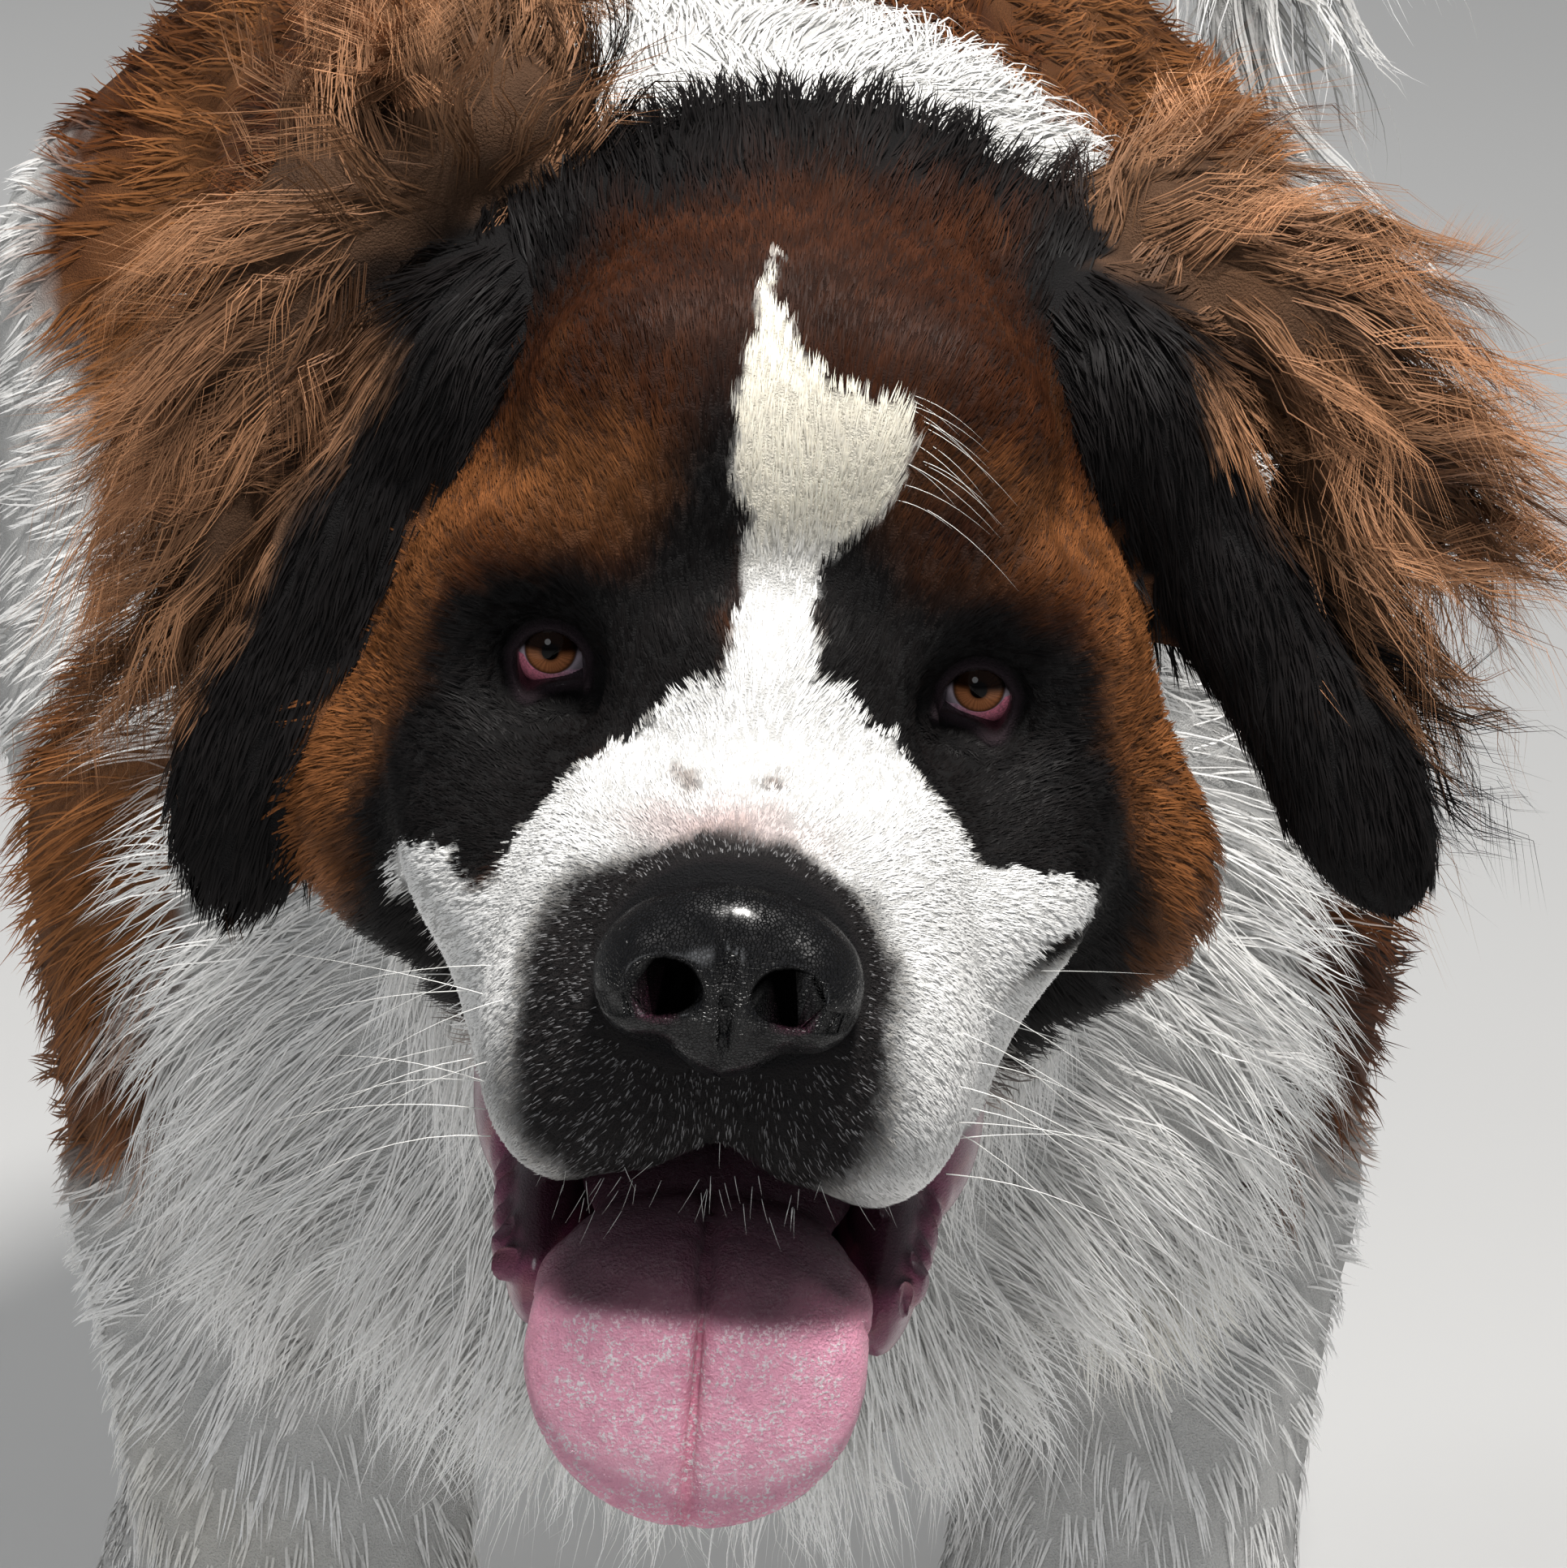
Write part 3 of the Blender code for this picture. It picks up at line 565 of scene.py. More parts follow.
def lay_neck(clay):
    """A thick neck with a collar and a bib of long hair."""
    clay.limb(
        [(0, 20, 62, 16), (0.3, 32, 64.5, 15.5), (0.5, 44, 68, 13), (0.8, 54, 71, 10)],
        blend=5, fur=RUFF,
    )
    clay.mass((0, 47, 60), (23, 20, 26), blend=4, fur=BIB)


def lay_trunk(clay):
    # Ribs and backbone.
    clay.pair((6.2, 6, 52), (27, 60, 33), blend=5, fur=MANTLE)
    clay.mass((0, 8, 62), (23, 62, 27), blend=5, fur=MANTLE)
    clay.mass((0, 24, 66), (20, 30, 21), blend=5, fur=RUFF)
    # Loin, croup and belly.
    clay.mass((0, -18, 59), (31, 42, 30), blend=5, fur=MANTLE)
    clay.mass((0, -35, 60), (29, 28, 27), blend=5, fur=MANTLE)
    clay.mass((0, 0, 42), (24, 52, 14), blend=5, fur=BELLY)
    # Forechest and shoulders.
    clay.mass((0, 37, 52), (28, 18, 30), blend=5, fur=BIB)
    clay.mass((0, 38, 46), (22, 17, 20), blend=5, fur=BIB)
    clay.pair((11.5, 28, 55), (15, 24, 38), lean=-14, blend=4, fur=RUFF)


def lay_legs(clay):
    """Heavy-boned forelegs with feathering, broad thighs, bent stifles and upright hocks."""
    clay.pair_limb(
        [(12.5, 27, 52, 8), (12.4, 24.5, 41, 6.8), (12, 26.5, 29, 5.2), (12, 28, 17, 4.7),
         (12, 28.5, 9, 4.6), (12, 30, 5, 4.8)],
        blend=3, fur=LEG, regions="foreleg",
    )
    clay.pair((12.6, 20.5, 34), (6, 7, 22), lean=-8, blend=3, fur=FEATHER, regions="foreleg")
    clay.pair((12.2, 22.6, 22), (4.6, 5.4, 16), lean=-8, blend=2, fur=FEATHER, regions="foreleg")
    clay.pair((11.2, -33, 50), (15.4, 28, 38), lean=10, blend=4, fur=MANTLE, regions="hindleg")
    clay.pair_limb(
        [(13, -32, 50, 10.5), (14.3, -27, 39, 8.6), (14.6, -33.5, 29, 6.3), (14.6, -42, 21, 4.6),
         (14.8, -42, 13, 4.2), (14.8, -39.5, 6.5, 4.6)],
        blend=3, fur=LEG, regions="hindleg",
    )
    clay.pair((12.5, -43.5, 42), (9.5, 10, 30), lean=-6, blend=3, fur=BREECHES, regions="hindleg")


def lay_tail(clay):
    """The lifted tail, swung out to the left. Its brush is all hair."""
    clay.limb(
        [(0, -43, 62, 3.4), (2, -51, 65, 2.9), (8, -57, 68, 2.6), (14, -60, 68, 2.2),
         (19.5, -59, 64, 1.8), (22, -57.5, 59, 1.5), (21, -56, 53, 1.0)],
        blend=3, fur=TAIL,
    )


def toe_places():
    """Each toe's place about its paw, with the paw's own place, as (across, forward)."""
    for station, legs in ((FORE_STATION, "foreleg"), (HIND_STATION, "hindleg")):
        for side, sign in SIDES.items():
            toes = []
            for place, reach in ((-3.8, 4.2), (-1.35, 5.6), (1.35, 5.6), (3.8, 4.2)):
                toes.append((sign * station[0] + place, station[1] + reach))
            yield legs + "_" + side, (sign * station[0], station[1]), toes


def lay_paws(clay):
    """Broad paws with four arched toes."""
    for region, (middle, front), toes in toe_places():
        clay.region = REGIONS.index(region)
        clay.mass((middle, front + 1.6, 4.0), (PAW_WIDTH, 11, 8.0), blend=1, fur=PAW)
        for across, forward in toes:
            clay.mass((across, forward, 3.0), (3.6, 5.8, 5.6), blend=0.5, fur=PAW)


def whole_clay():
    clay = Clay(FLOOR_FRAME)
    clay.region = TRUNK
    lay_neck(clay)
    lay_trunk(clay)
    lay_legs(clay)
    clay.region = TAIL_END
    lay_tail(clay)
    lay_paws(clay)
    clay.frame = HEAD_FRAME
    clay.region = HEAD
    lay_head(clay)
    lay_jaw(clay)
    lay_ears(clay)
    clay.region = HEAD
    lay_lids(clay)
    lay_lips(clay)
    return clay


# Meshes.

def link(name, mesh):
    obj = bpy.data.objects.new(name, mesh)
    bpy.context.scene.collection.objects.link(obj)
    return obj


def settled(obj):
    """The object with its modifiers made real."""
    graph = bpy.context.evaluated_depsgraph_get()
    mesh = bpy.data.meshes.new_from_object(obj.evaluated_get(graph))
    old = obj.data
    obj.modifiers.clear()
    obj.data = mesh
    bpy.data.meshes.remove(old)
    return obj


def numbers_of(elements, key, width, kind=float):
    """What each element of a mesh holds under a name, in rows."""
    flat = np.empty(len(elements) * width, kind)
    elements.foreach_get(key, flat)
    return flat.reshape(-1, width)


def vertex_places(mesh):
    return numbers_of(mesh.vertices, "co", 3)


def set_vertex_places(mesh, points):
    mesh.vertices.foreach_set("co", np.ascontiguousarray(points).ravel())
    mesh.update()


def vertex_normals(mesh):
    return numbers_of(mesh.vertex_normals, "vector", 3, np.float32).astype(float)


def smooth(mesh):
    mesh.polygons.foreach_set("use_smooth", np.ones(len(mesh.polygons), bool))
    mesh.update()


def paint(mesh, name, values):
    """Stores a colour, or a single number, at each vertex."""
    if values.ndim == 1:
        layer = mesh.attributes.new(name, "FLOAT", "POINT")
        layer.data.foreach_set("value", values.astype(np.float32))
    else:
        layer = mesh.attributes.new(name, "FLOAT_COLOR", "POINT")
        full = np.ones((len(values), 4), np.float32)
        full[:, :3] = values
        layer.data.foreach_set("color", full.ravel())


def fused(name, clay, step):
    """One closed skin over all the masses, drawn onto their blended surface."""
    bm = bmesh.new()
    for form in clay.forms:
        if not form.carve:
            form.shape(bm)
    mesh = bpy.data.meshes.new(name)
    bm.to_mesh(mesh)
    bm.free()
    obj = link(name, mesh)
    remesh = obj.modifiers.new("fuse", "REMESH")
    remesh.mode = "VOXEL"
    remesh.voxel_size = step
    even = obj.modifiers.new("even", "SMOOTH")
    even.factor = 0.5
    even.iterations = 3
    settled(obj)
    return obj


def refine(mesh, chosen):
    """Divides the chosen faces once."""
    bm = bmesh.new()
    bm.from_mesh(mesh)
    bm.faces.ensure_lookup_table()
    edges = {edge for index in np.flatnonzero(chosen) for edge in bm.faces[index].edges}
    bmesh.ops.subdivide_edges(bm, edges=list(edges), cuts=1, use_grid_fill=True)
    bm.to_mesh(mesh)
    bm.free()
    mesh.update()


def face_centres(mesh):
    return numbers_of(mesh.polygons, "center", 3)


# The eye's opening, in centimetres outward and up from the eye's middle: the two corners are
# the ends of both lids.
UPPER_LID = (
    (-0.84, -0.52), (-0.76, -0.02), (-0.38, 0.38), (0.08, 0.48), (0.50, 0.30), (0.80, -0.14),
)
LOWER_LID = (
    (-0.84, -0.52), (-0.44, -0.66), (0.06, -0.80), (0.52, -0.99), (0.74, -0.58), (0.80, -0.14),
)


def curve_through(stations, count):
    """A smooth run of points through a few stations."""
    stations = np.array(stations, float)
    ends = np.vstack((2 * stations[0] - stations[1], stations, 2 * stations[-1] - stations[-2]))
    where = np.linspace(0, len(stations) - 1 - 1e-6, count)
    start = where.astype(int)
    t = (where - start)[:, None]
    a, b, c, d = (ends[start + shift] for shift in range(4))
    square, cube = 2 * a - 5 * b + 4 * c - d, 3 * b - a - 3 * c + d
    return 0.5 * (2 * b + (c - a) * t + square * t**2 + cube * t**3)


def lid_outline():
    upper = curve_through(UPPER_LID, 24)
    lower = curve_through(LOWER_LID, 24)
    return np.vstack((upper, lower[-2:0:-1]))


def inside_outline(flat, outline):
    """Distance into an outline from its edge, below zero outside it."""
    following = np.roll(outline, -1, axis=0)
    nearest = np.full(len(flat), 1e9)
    inside = np.zeros(len(flat), bool)
    for start, end in zip(outline, following):
        along = end - start
        share = np.clip((flat - start) @ along / (along @ along), 0, 1)
        nearest = np.minimum(nearest, np.linalg.norm(flat - start - share[:, None] * along, axis=1))
        crosses = (start[1] > flat[:, 1]) != (end[1] > flat[:, 1])
        rise = end[1] - start[1] or 1e-9
        inside ^= crosses & (flat[:, 0] < start[0] + along[0] * (flat[:, 1] - start[1]) / rise)
    return np.where(inside, nearest, -nearest)


def eye_view(head, sign):
    """Head places as (outward, in front of the ball's middle, up) of one eye."""
    return np.column_stack((
        (head[:, 0] - sign * EYE_ACROSS) * sign, head[:, 1] + EYE_RADIUS, head[:, 2],
    ))


# Rolls and creases about the opening: how far out, how proud and how broad, in centimetres.
LID_FOLDS = ((0.14, 0.09, 0.08), (0.36, -0.08, 0.07), (0.60, 0.08, 0.14))
# How far about an eye its lids reach, and what stands for the distance into an opening beyond.
LID_REACH = 1.7
NO_OPENING = -9.0


def open_lids(points):
    """Sinks the skin behind the eyeball in each opening, and returns the distance into them."""
    head = seen_from(HEAD_FRAME, points)
    opening = np.full(len(points), NO_OPENING)
    outline = lid_outline()
    for sign in SIDES.values():
        local = eye_view(head, sign)
        in_reach = (np.abs(local[:, 0]) < LID_REACH) & (np.abs(local[:, 2]) < LID_REACH)
        near = np.flatnonzero(in_reach & (local[:, 1] > 0))
        depth_in = inside_outline(local[near][:, [0, 2]], outline)
        opening[near] = depth_in
        off = np.minimum((local[near][:, [0, 2]] ** 2).sum(axis=1), 1.3)
        behind = np.sqrt(1.35 - off + 1e-6) - 0.32
        sunk = ease(-0.02, 0.07, depth_in)
        folds = np.zeros(len(near))
        for distance, height, width in LID_FOLDS:
            folds += height * np.exp(-(((depth_in + distance) / width) ** 2))
        forward = (local[near, 1] + folds) * (1 - sunk) + behind * sunk
        head[near, 1] = forward - EYE_RADIUS
    return places_from(HEAD_FRAME, head), opening


# The rounds that divide the skin, each over a smaller part of the head, and how often each
# part is drawn onto the masses afterwards: head, face, the eyes' surroundings, lids.
ROUNDS = ((("head", 0), 1), (("face", 0), 2), (("eye", 2.6), 2), (("eye", 1.5), 2))


def build_skin_mesh():
    clay = whole_clay()
    obj = fused("skin", clay, sizes().skin_step)
    mesh = obj.data
    set_vertex_places(mesh, clay.settle(vertex_places(mesh), 4, 0.01))
    for reach, passes in ROUNDS:
        refine(mesh, within(reach, seen_from(HEAD_FRAME, face_centres(mesh))))
        points = vertex_places(mesh)
        touched = np.flatnonzero(within(reach, seen_from(HEAD_FRAME, points)))
        points[touched] = clay.settle(points[touched], passes, 0.003)
        set_vertex_places(mesh, points)
    points, opening = open_lids(vertex_places(mesh))
    set_vertex_places(mesh, points)
    smooth(mesh)
    MODEL["clay"] = clay
    MODEL["opening"] = opening
    return obj


def within(reach, head):
    """Which head places belong to a part of the head that is divided finely."""
    part, radius = reach
    if part == "head":
        return (head[:, 1] > -14) & (head[:, 2] > -17)
    if part == "face":
        return (head[:, 1] > -2.5) & (np.abs(head[:, 0]) < 9.5) & (head[:, 2] > -17.5)
    near = np.zeros(len(head), bool)
    for sign in SIDES.values():
        local = eye_view(head, sign)
        near |= (np.hypot(local[:, 0], local[:, 2]) < radius) & (local[:, 1] > -0.2)
    return near


# Markings.

# The nose leather's middle and its reach to each side, forward and up.
NOSE_MIDDLE = np.array((0.0, 11.2, -4.0))
NOSE_REACH = np.array((3.25, 2.5, 2.6))


def nose_distance(head):
    """How far places lie from the nose leather's middle, 1 at its edge."""
    return np.linalg.norm((head - NOSE_MIDDLE) / NOSE_REACH, axis=1)


# A head marking's height is measured as the camera of the photo sees it, square to its view.
SIGHT_UP = 0.951
SIGHT_FORWARD = 0.309

# Edges of the white blaze by height between the eyes and the crown, in centimetres.
BLAZE_HEIGHTS = (-3.0, -1.5, 0.0, 1.5, 2.9, 4.0, 5.1, 6.3, 7.15, 7.5, 8.2, 9.1, 9.5)
BLAZE_RIGHT = (-1.2, -1.1, -1.05, -0.75, -0.60, -0.8, -1.05, -1.2, -1.2, -1.1, -0.95, -0.80, -0.70)
BLAZE_LEFT = (1.5, 1.4, 1.35, 1.20, 1.20, 2.1, 2.95, 3.2, 2.7, 0.9, 0.1, -0.6, -0.70)
# How far the white of the muzzle and cheeks reaches to each side, by height as seen.
WHITE_HEIGHTS = (-12.0, -9.5, -8.0, -6.9, -5.9, -5.2, -4.8, -4.62, -3.9, -2.45, -1.5, -0.65, -0.2)
WHITE_REACH = (6.4, 6.2, 6.4, 7.0, 8.3, 8.8, 8.7, 5.8, 5.2, 3.95, 2.9, 1.9, 1.0)
# Where the long hair of each ear meets its leather, by height as seen: right ear, then left.
EAR_HEIGHTS = (-5.0, -3.0, 0.0, 3.5, 7.0, 9.5, 12.0)
RIGHT_EAR_EDGE = (-16.6, -15.2, -13.6, -12.2, -10.2, -8.2, -6.2)
LEFT_EAR_EDGE = (22.0, 20.0, 16.6, 13.8, 11.0, 8.2, 5.5)
# Where the fan of an ear's long hair starts: how far out, and how high as seen.
EAR_ROOT = (7.2, 8.2)

# Dabs of colour laid on the mahogany head in turn: colour, both sides or one, place, radii, edge.
HEAD_DABS = (
    ("dark", 0, (0, -12, 12.4), (10, 8, 4.4), 0.85),
    ("dark", 1, (2.8, -3, 7.8), (4.6, 6, 3.8), 0.8),
    ("black", 0, (0.6, -12.5, 14.0), (7.4, 7, 2.6), 0.6),
    ("dark", 1, (2.9, 0, 3.0), (1.9, 6, 1.9), 0.7),
    ("orange", 1, (5.2, 0, 4.0), (2.8, 5, 1.3), 0.9),
    ("dark", 0, (4.2, 0, 3.5), (2.1, 5, 1.4), 0.8),
    ("orange", 1, (9.3, -3, 2.3), (1.5, 5, 4.2), 0.7),
    ("orange", 1, (10.4, -3.5, -3.0), (1.6, 6, 3.6), 0.6),
    ("black", 1, (8.8, -8.5, 7.6), (2.6, 5, 3.6), 0.4),
    ("black", -1, (-4.0, -11, 13.4), (3.2, 7, 3.2), 0.4),
    ("black", 1, (4.8, -13, 13.9), (2.6, 6, 2.2), 0.4),
    ("black", 1, (7.0, -8.5, 10.2), (2.2, 5, 2.4), 0.4),
    ("black", -1, (-1.5, 0, 3.6), (1.1, 5, 3.4), 0.6),
    ("black", 1, (2.0, 1.5, 2.0), (1.3, 5, 1.6), 0.5),
    ("black", 1, (5.2, 1.0, -0.5), (3.4, 6, 2.6), 0.22),
    ("black", 1, (3.0, 2.0, -0.6), (2.6, 6, 2.3), 0.22),
    ("black", 1, (6.4, 1.0, -3.3), (3.1, 7, 3.0), 0.2),
    ("black", 1, (7.7, 0.0, -4.4), (2.0, 6, 1.6), 0.3),
    ("black", 1, (8.6, -4, -7.6), (3.8, 7, 2.8), 0.35),
    ("black", 1, (9.2, -1, -5.6), (1.4, 5, 2.0), 0.35),
    ("black", 1, (7.8, 1.5, -6.7), (1.8, 4, 1.3), 0.4),
    ("black", -1, (-6.8, 1.0, -5.3), (1.3, 4, 1.3), 0.4),
    ("orange", 1, (10.9, -5, -6.0), (1.1, 5, 1.9), 0.7),
)


def dab(colours, head, shade, sides, place, radii, edge):
    """Lays a soft-edged ellipsoid of colour, on one side (-1 the right) or mirrored on both."""
    signs = (1.0,) if sides <= 0 else (1.0, -1.0)
    for sign in signs:
        off = (head - np.array(place) * (sign, 1, 1)) / np.array(radii)
        share = 1 - ease(1 - edge, 1 + edge, np.linalg.norm(off, axis=1))
        colours = blended(colours, shade, share)
    return colours


def as_seen(head):
    """Head places with their height measured square to the photo's view."""
    seen = head.copy()
    seen[:, 2] = SIGHT_UP * head[:, 2] - SIGHT_FORWARD * head[:, 1]
    return seen


# A greyish-pink smudge on the bridge of the nose, and two small dark spots: colour, place, radii
# and edge.
BRIDGE_DABS = (
    ((0.50, 0.40, 0.39), (-0.5, 8.5, -4.0), (2.0, 3.5, 0.7), 0.9),
    ((0.22, 0.19, 0.18), (-1.6, 7.0, -2.9), (0.40, 3.5, 0.2), 0.95),
    ((0.22, 0.19, 0.18), (0.6, 7.0, -2.7), (0.40, 3.5, 0.2), 0.95),
)


def head_white(head, height):
    """How white the hair of blaze, muzzle, cheeks, throat and nape is, and of the blaze alone."""
    across, forward, up = head.T
    right = np.interp(up, BLAZE_HEIGHTS, BLAZE_RIGHT)
    left = np.interp(up, BLAZE_HEIGHTS, BLAZE_LEFT)
    blaze = ease(-0.12, 0.14, np.minimum(across - right, left - across))
    blaze = blaze * (up < 9.6) * (forward > -9) * (up > -2)
    reach = np.interp(height - 0.3 * np.sign(across), WHITE_HEIGHTS, WHITE_REACH)
    face = ease(-0.1, 0.12, reach - np.abs(across + 0.1))
    face = face * ease(-0.2, -0.5, height) * ease(-5, -4, forward)
    face *= ease(0.85, 1.15, np.hypot((across + 6.35) / 0.62, (height + 5.0) / 0.85))
    face = np.maximum(face, ease(0.8, 2.2, forward) * ease(-5.5, -6.5, up))
    throat = ease(-11.5, -13.0, up) * ease(9.5, 7.5, np.abs(across)) * ease(6.0, 2.0, forward)
    nape = ease(-15.5, -17.5, forward + 0.25 * up)
    return np.maximum.reduce([blaze, face, throat, nape]), blaze


def nose_ring(head, seen):
    """The black bristly ring about the nose, down to the lips, and the soot around it."""
    forward = head[:, 1]
    off = np.abs((seen[:, 0] + 0.55) / 4.8) ** 3 + np.abs((seen[:, 2] + 8.8) / 4.4) ** 3
    off = off ** (1 / 3)
    ring = (1 - ease(0.86, 1.06, off)) * ease(4.5, 6.0, forward)
    ring = np.maximum(ring, 1 - ease(1.18, 1.42, nose_distance(head)))
    sooty = ease(1.25, 1.0, off) * ease(3.5, 6.0, forward) * ease(-8.0, -10.5, seen[:, 2]) * 0.45
    return ring, sooty


def head_markings(head, raw):
    """Colours of head hair, and the nose's ring, from wavered and from true head places."""
    forward, up = head[:, 1], head[:, 2]
    seen = as_seen(head)
    colours = all_over(head, "mahogany")
    streak = ripple(raw * (1.0, 0.35, 0.35), 1.3, 5)
    colours = blended(colours, tone("dark"), ease(0.0, 1.8, streak) * 0.8)
    colours = blended(colours, tone("orange"), ease(0.3, 2.2, -streak) * 0.35)
    for shade, sides, place, radii, edge in HEAD_DABS:
        laid = tone(shade)
        if shade == "orange":
            laid = tone("mahogany") * 0.62 + laid * 0.38
        colours = dab(colours, seen, laid, sides, place, radii, edge)
    grain = np.tanh(ripple(raw * (1.5, 0.4, 0.5), 0.6, 6))
    colours = colours * (1 + 0.32 * grain)[:, None]
    white, blaze = head_white(head, seen[:, 2])
    bright = blended(all_over(head, "white"), tone("cream"), blaze * ease(2.2, 4.5, up) * 0.65)
    colours = blended(colours, bright, white)
    for shade, place, radii, edge in BRIDGE_DABS:
        colours = dab(colours, seen, np.array(shade), 0, place, radii, edge)
    ring, sooty = nose_ring(head, seen)
    colours = blended(colours, tone("black") * 5, sooty)
    colours = blended(colours, tone("black") * 2.2, ring)
    rim = ease(-10.6, -11.1, raw[:, 2]) * ease(-1.0, 1.0, forward) * (raw[:, 2] > -12.2)
    return blended(colours, tone("black") * 1.5, rim), ring


def body_markings(body, raw):
    """White with a mahogany mantle over back and sides, from wavered and true floor places."""
    across, forward, up = body.T
    front = 28.5 + 0.8 * np.maximum(np.abs(across) - 7.5, 0) - 0.08 * np.maximum(60 - up, 0)
    low = 43.5 + 13 * ease(-16, -32, forward)
    mantle = ease(1.2, -1.2, forward - front) * ease(-1.5, 1.5, up - low)
    mantle *= 1 - ease(-47, -50, forward) * ease(2, 6, across)
    colours = all_over(body, "mahogany")
    streak = 0.8 * ripple(raw * (1.0, 0.6, 1.0), 15.0, 11)
    streak = streak + 0.45 * ripple(raw * (1.0, 0.5, 1.0), 2.5, 12)
    colours = blended(colours, tone("orange"), ease(-1.4, 1.4, streak) * 0.85)
    colours = blended(colours, tone("dark"), ease(0.7, 2.4, -streak) * 0.6)
    colours = blended(colours, tone("dark"), ease(5, 1, np.abs(across)) * ease(60, 68, up) * 0.45)
    tinted = ease(0.5, 2.0, ripple(raw, 14.0, 13)) * 0.35
    white = blended(all_over(body, "white"), tone("cream"), tinted)
    # A grey patch low on the left of the chest.
    patch = np.linalg.norm((raw - (7.6, 55, 52)) / (1.5, 9, 1.8), axis=1)
    white = blended(white, np.array((0.30, 0.28, 0.28)), (1 - ease(0.6, 1.3, patch)) * 0.8)
    return blended(white, colours, mantle)


def beyond_edge(head, sign):
    """How far an ear place lies out beyond the edge of its leather, as the photo sees it."""
    height = as_seen(head)[:, 2]
    edge = RIGHT_EAR_EDGE if sign < 0 else LEFT_EAR_EDGE
    return (head[:, 0] - np.interp(height, EAR_HEIGHTS, edge)) * sign


def ear_markings(head, raw, sign):
    """Black leather lobes, with brown hair on the outer halves and at the right ear's tip."""
    colours = all_over(head, "black", 1.3)
    streak = ripple(raw, 2.2, 21)
    brown = blended(all_over(head, "ear_brown"), tone("dark"), ease(0.2, 1.8, streak) * 0.8)
    brown = blended(brown, tone("orange"), ease(0.5, 1.8, -streak) * 0.3)
    # Painted light: the left ear's brown is painted lighter than the right ear's.
    brown = brown * (1.0 if sign < 0 else 1.18)
    share = ease(-0.6, 0.6, beyond_edge(head, sign))
    if sign < 0:
        share = np.maximum(share, ease(-9.8, -10.5, head[:, 2]))
    near_root = np.hypot(head[:, 0] - sign * EAR_ROOT[0], as_seen(head)[:, 2] - EAR_ROOT[1])
    return blended(colours, brown, share * ease(2.4, 3.8, near_root))


def coat_colours(points, region):
    """The dog's markings at each place, and how much of the nose's bristly ring is there."""
    raw_head = seen_from(HEAD_FRAME, points)
    raw_body = seen_from(FLOOR_FRAME, points)
    waver = wandering(points / CM, 1.4, 30)
    fine = wandering(points / CM, 0.5, 40)
    broad = wandering(points / CM, 7.0, 50)
    colours = body_markings(raw_body + 1.1 * broad + 0.35 * waver, raw_body)
    on_head = region == HEAD
    ring = np.zeros(len(points))
    if on_head.any():
        wavered = (raw_head + 0.10 * waver + 0.06 * fine)[on_head]
        colours[on_head], ring[on_head] = head_markings(wavered, raw_head[on_head])
    for index, sign in EAR_SIDES.items():
        here = region == index
        if here.any():
            colours[here] = ear_markings((raw_head + 0.2 * waver)[here], raw_head[here], sign)
    return colours, ring


# The lie of the coat, as (across, forward, up) of the head or of the body.

def head_lie(head):
    """Back over the crown, down the cheeks, and outward from the eyes and the nose."""
    across, forward, up = head.T
    aside = np.tanh(across / 2.5)
    high = ease(0.5, 4.0, up)
    low = ease(-1.0, -6.0, up)
    lies = np.column_stack(
        (aside * (0.30 + 0.35 * low), np.full(len(up), -1.0), 0.6 * high - 0.8 * low)
    )
    crown = ease(-7.0, -11.0, forward) * ease(3.0, 6.0, up)
    lies[:, 2] = lies[:, 2] * (1 - crown) + 0.35 * crown
    for sign in SIDES.values():
        off = np.column_stack((across - sign * EYE_ACROSS, up))
        reach = np.maximum(np.linalg.norm(off, axis=1), 0.2)
        pull = 1.5 * np.exp(-((reach / 2.2) ** 2)) * (forward > -2)
        lies[:, 0] += pull * off[:, 0] / reach
        lies[:, 2] += pull * off[:, 1] / reach
    snout = ease(6.0, 9.0, forward)
    lies[:, 0] += snout * np.clip(across / 3, -1, 1)
    lies[:, 2] += snout * np.clip((up + 4) / 4, -1.2, 0.6)
    lies[:, 2] -= ease(-12.0, -13.0, up) * 0.5
    return lies


def ear_lie(head, wander, length, sign):
    """Down the leather lobe, and in a fan from the ear's root where the hair is long."""
    seen = as_seen(head)
    lobe = np.tile((0.25 * sign, -0.05, -1.0), (len(head), 1))
    fan = unit(np.column_stack((
        seen[:, 0] - sign * EAR_ROOT[0], np.full(len(head), -1.2), seen[:, 2] - EAR_ROOT[1],
    )))
    swept = np.array((-0.55, -0.2, -0.95) if sign < 0 else (0.85, -0.2, -0.75))
    outer = ease(1.0, 6.0, beyond_edge(head, sign))[:, None]
    upward = ease(9.5, 13.0, seen[:, 2]) * (sign < 0)
    fan = blended(0.7 * fan + swept * (0.5 + 0.6 * outer), fan + (0, 0, 0.6), upward)
    fan += 0.40 * wander
    return blended(lobe, fan, ease(2.2, 3.6, length))


def body_lie(body, wander):
    """Back along the trunk, down the breast and legs, and forward over the toes."""
    across, forward, up = body.T
    aside = np.tanh(across / 8)
    neck = ease(24, 42, forward)
    breast = ease(40, 50, forward) * ease(68, 58, up)
    lies = np.column_stack((
        aside * (0.15 + 0.35 * neck), -1.0 + 0.75 * breast,
        -0.25 - 0.5 * ease(64, 50, up) - 0.9 * breast,
    ))
    lies += 0.16 * wander
    lies = blended(lies, np.array((0.0, -0.18, -1.0)), ease(40, 30, up))
    return blended(lies, np.array((0.0, 1.0, -0.55)), ease(10, 6, up))


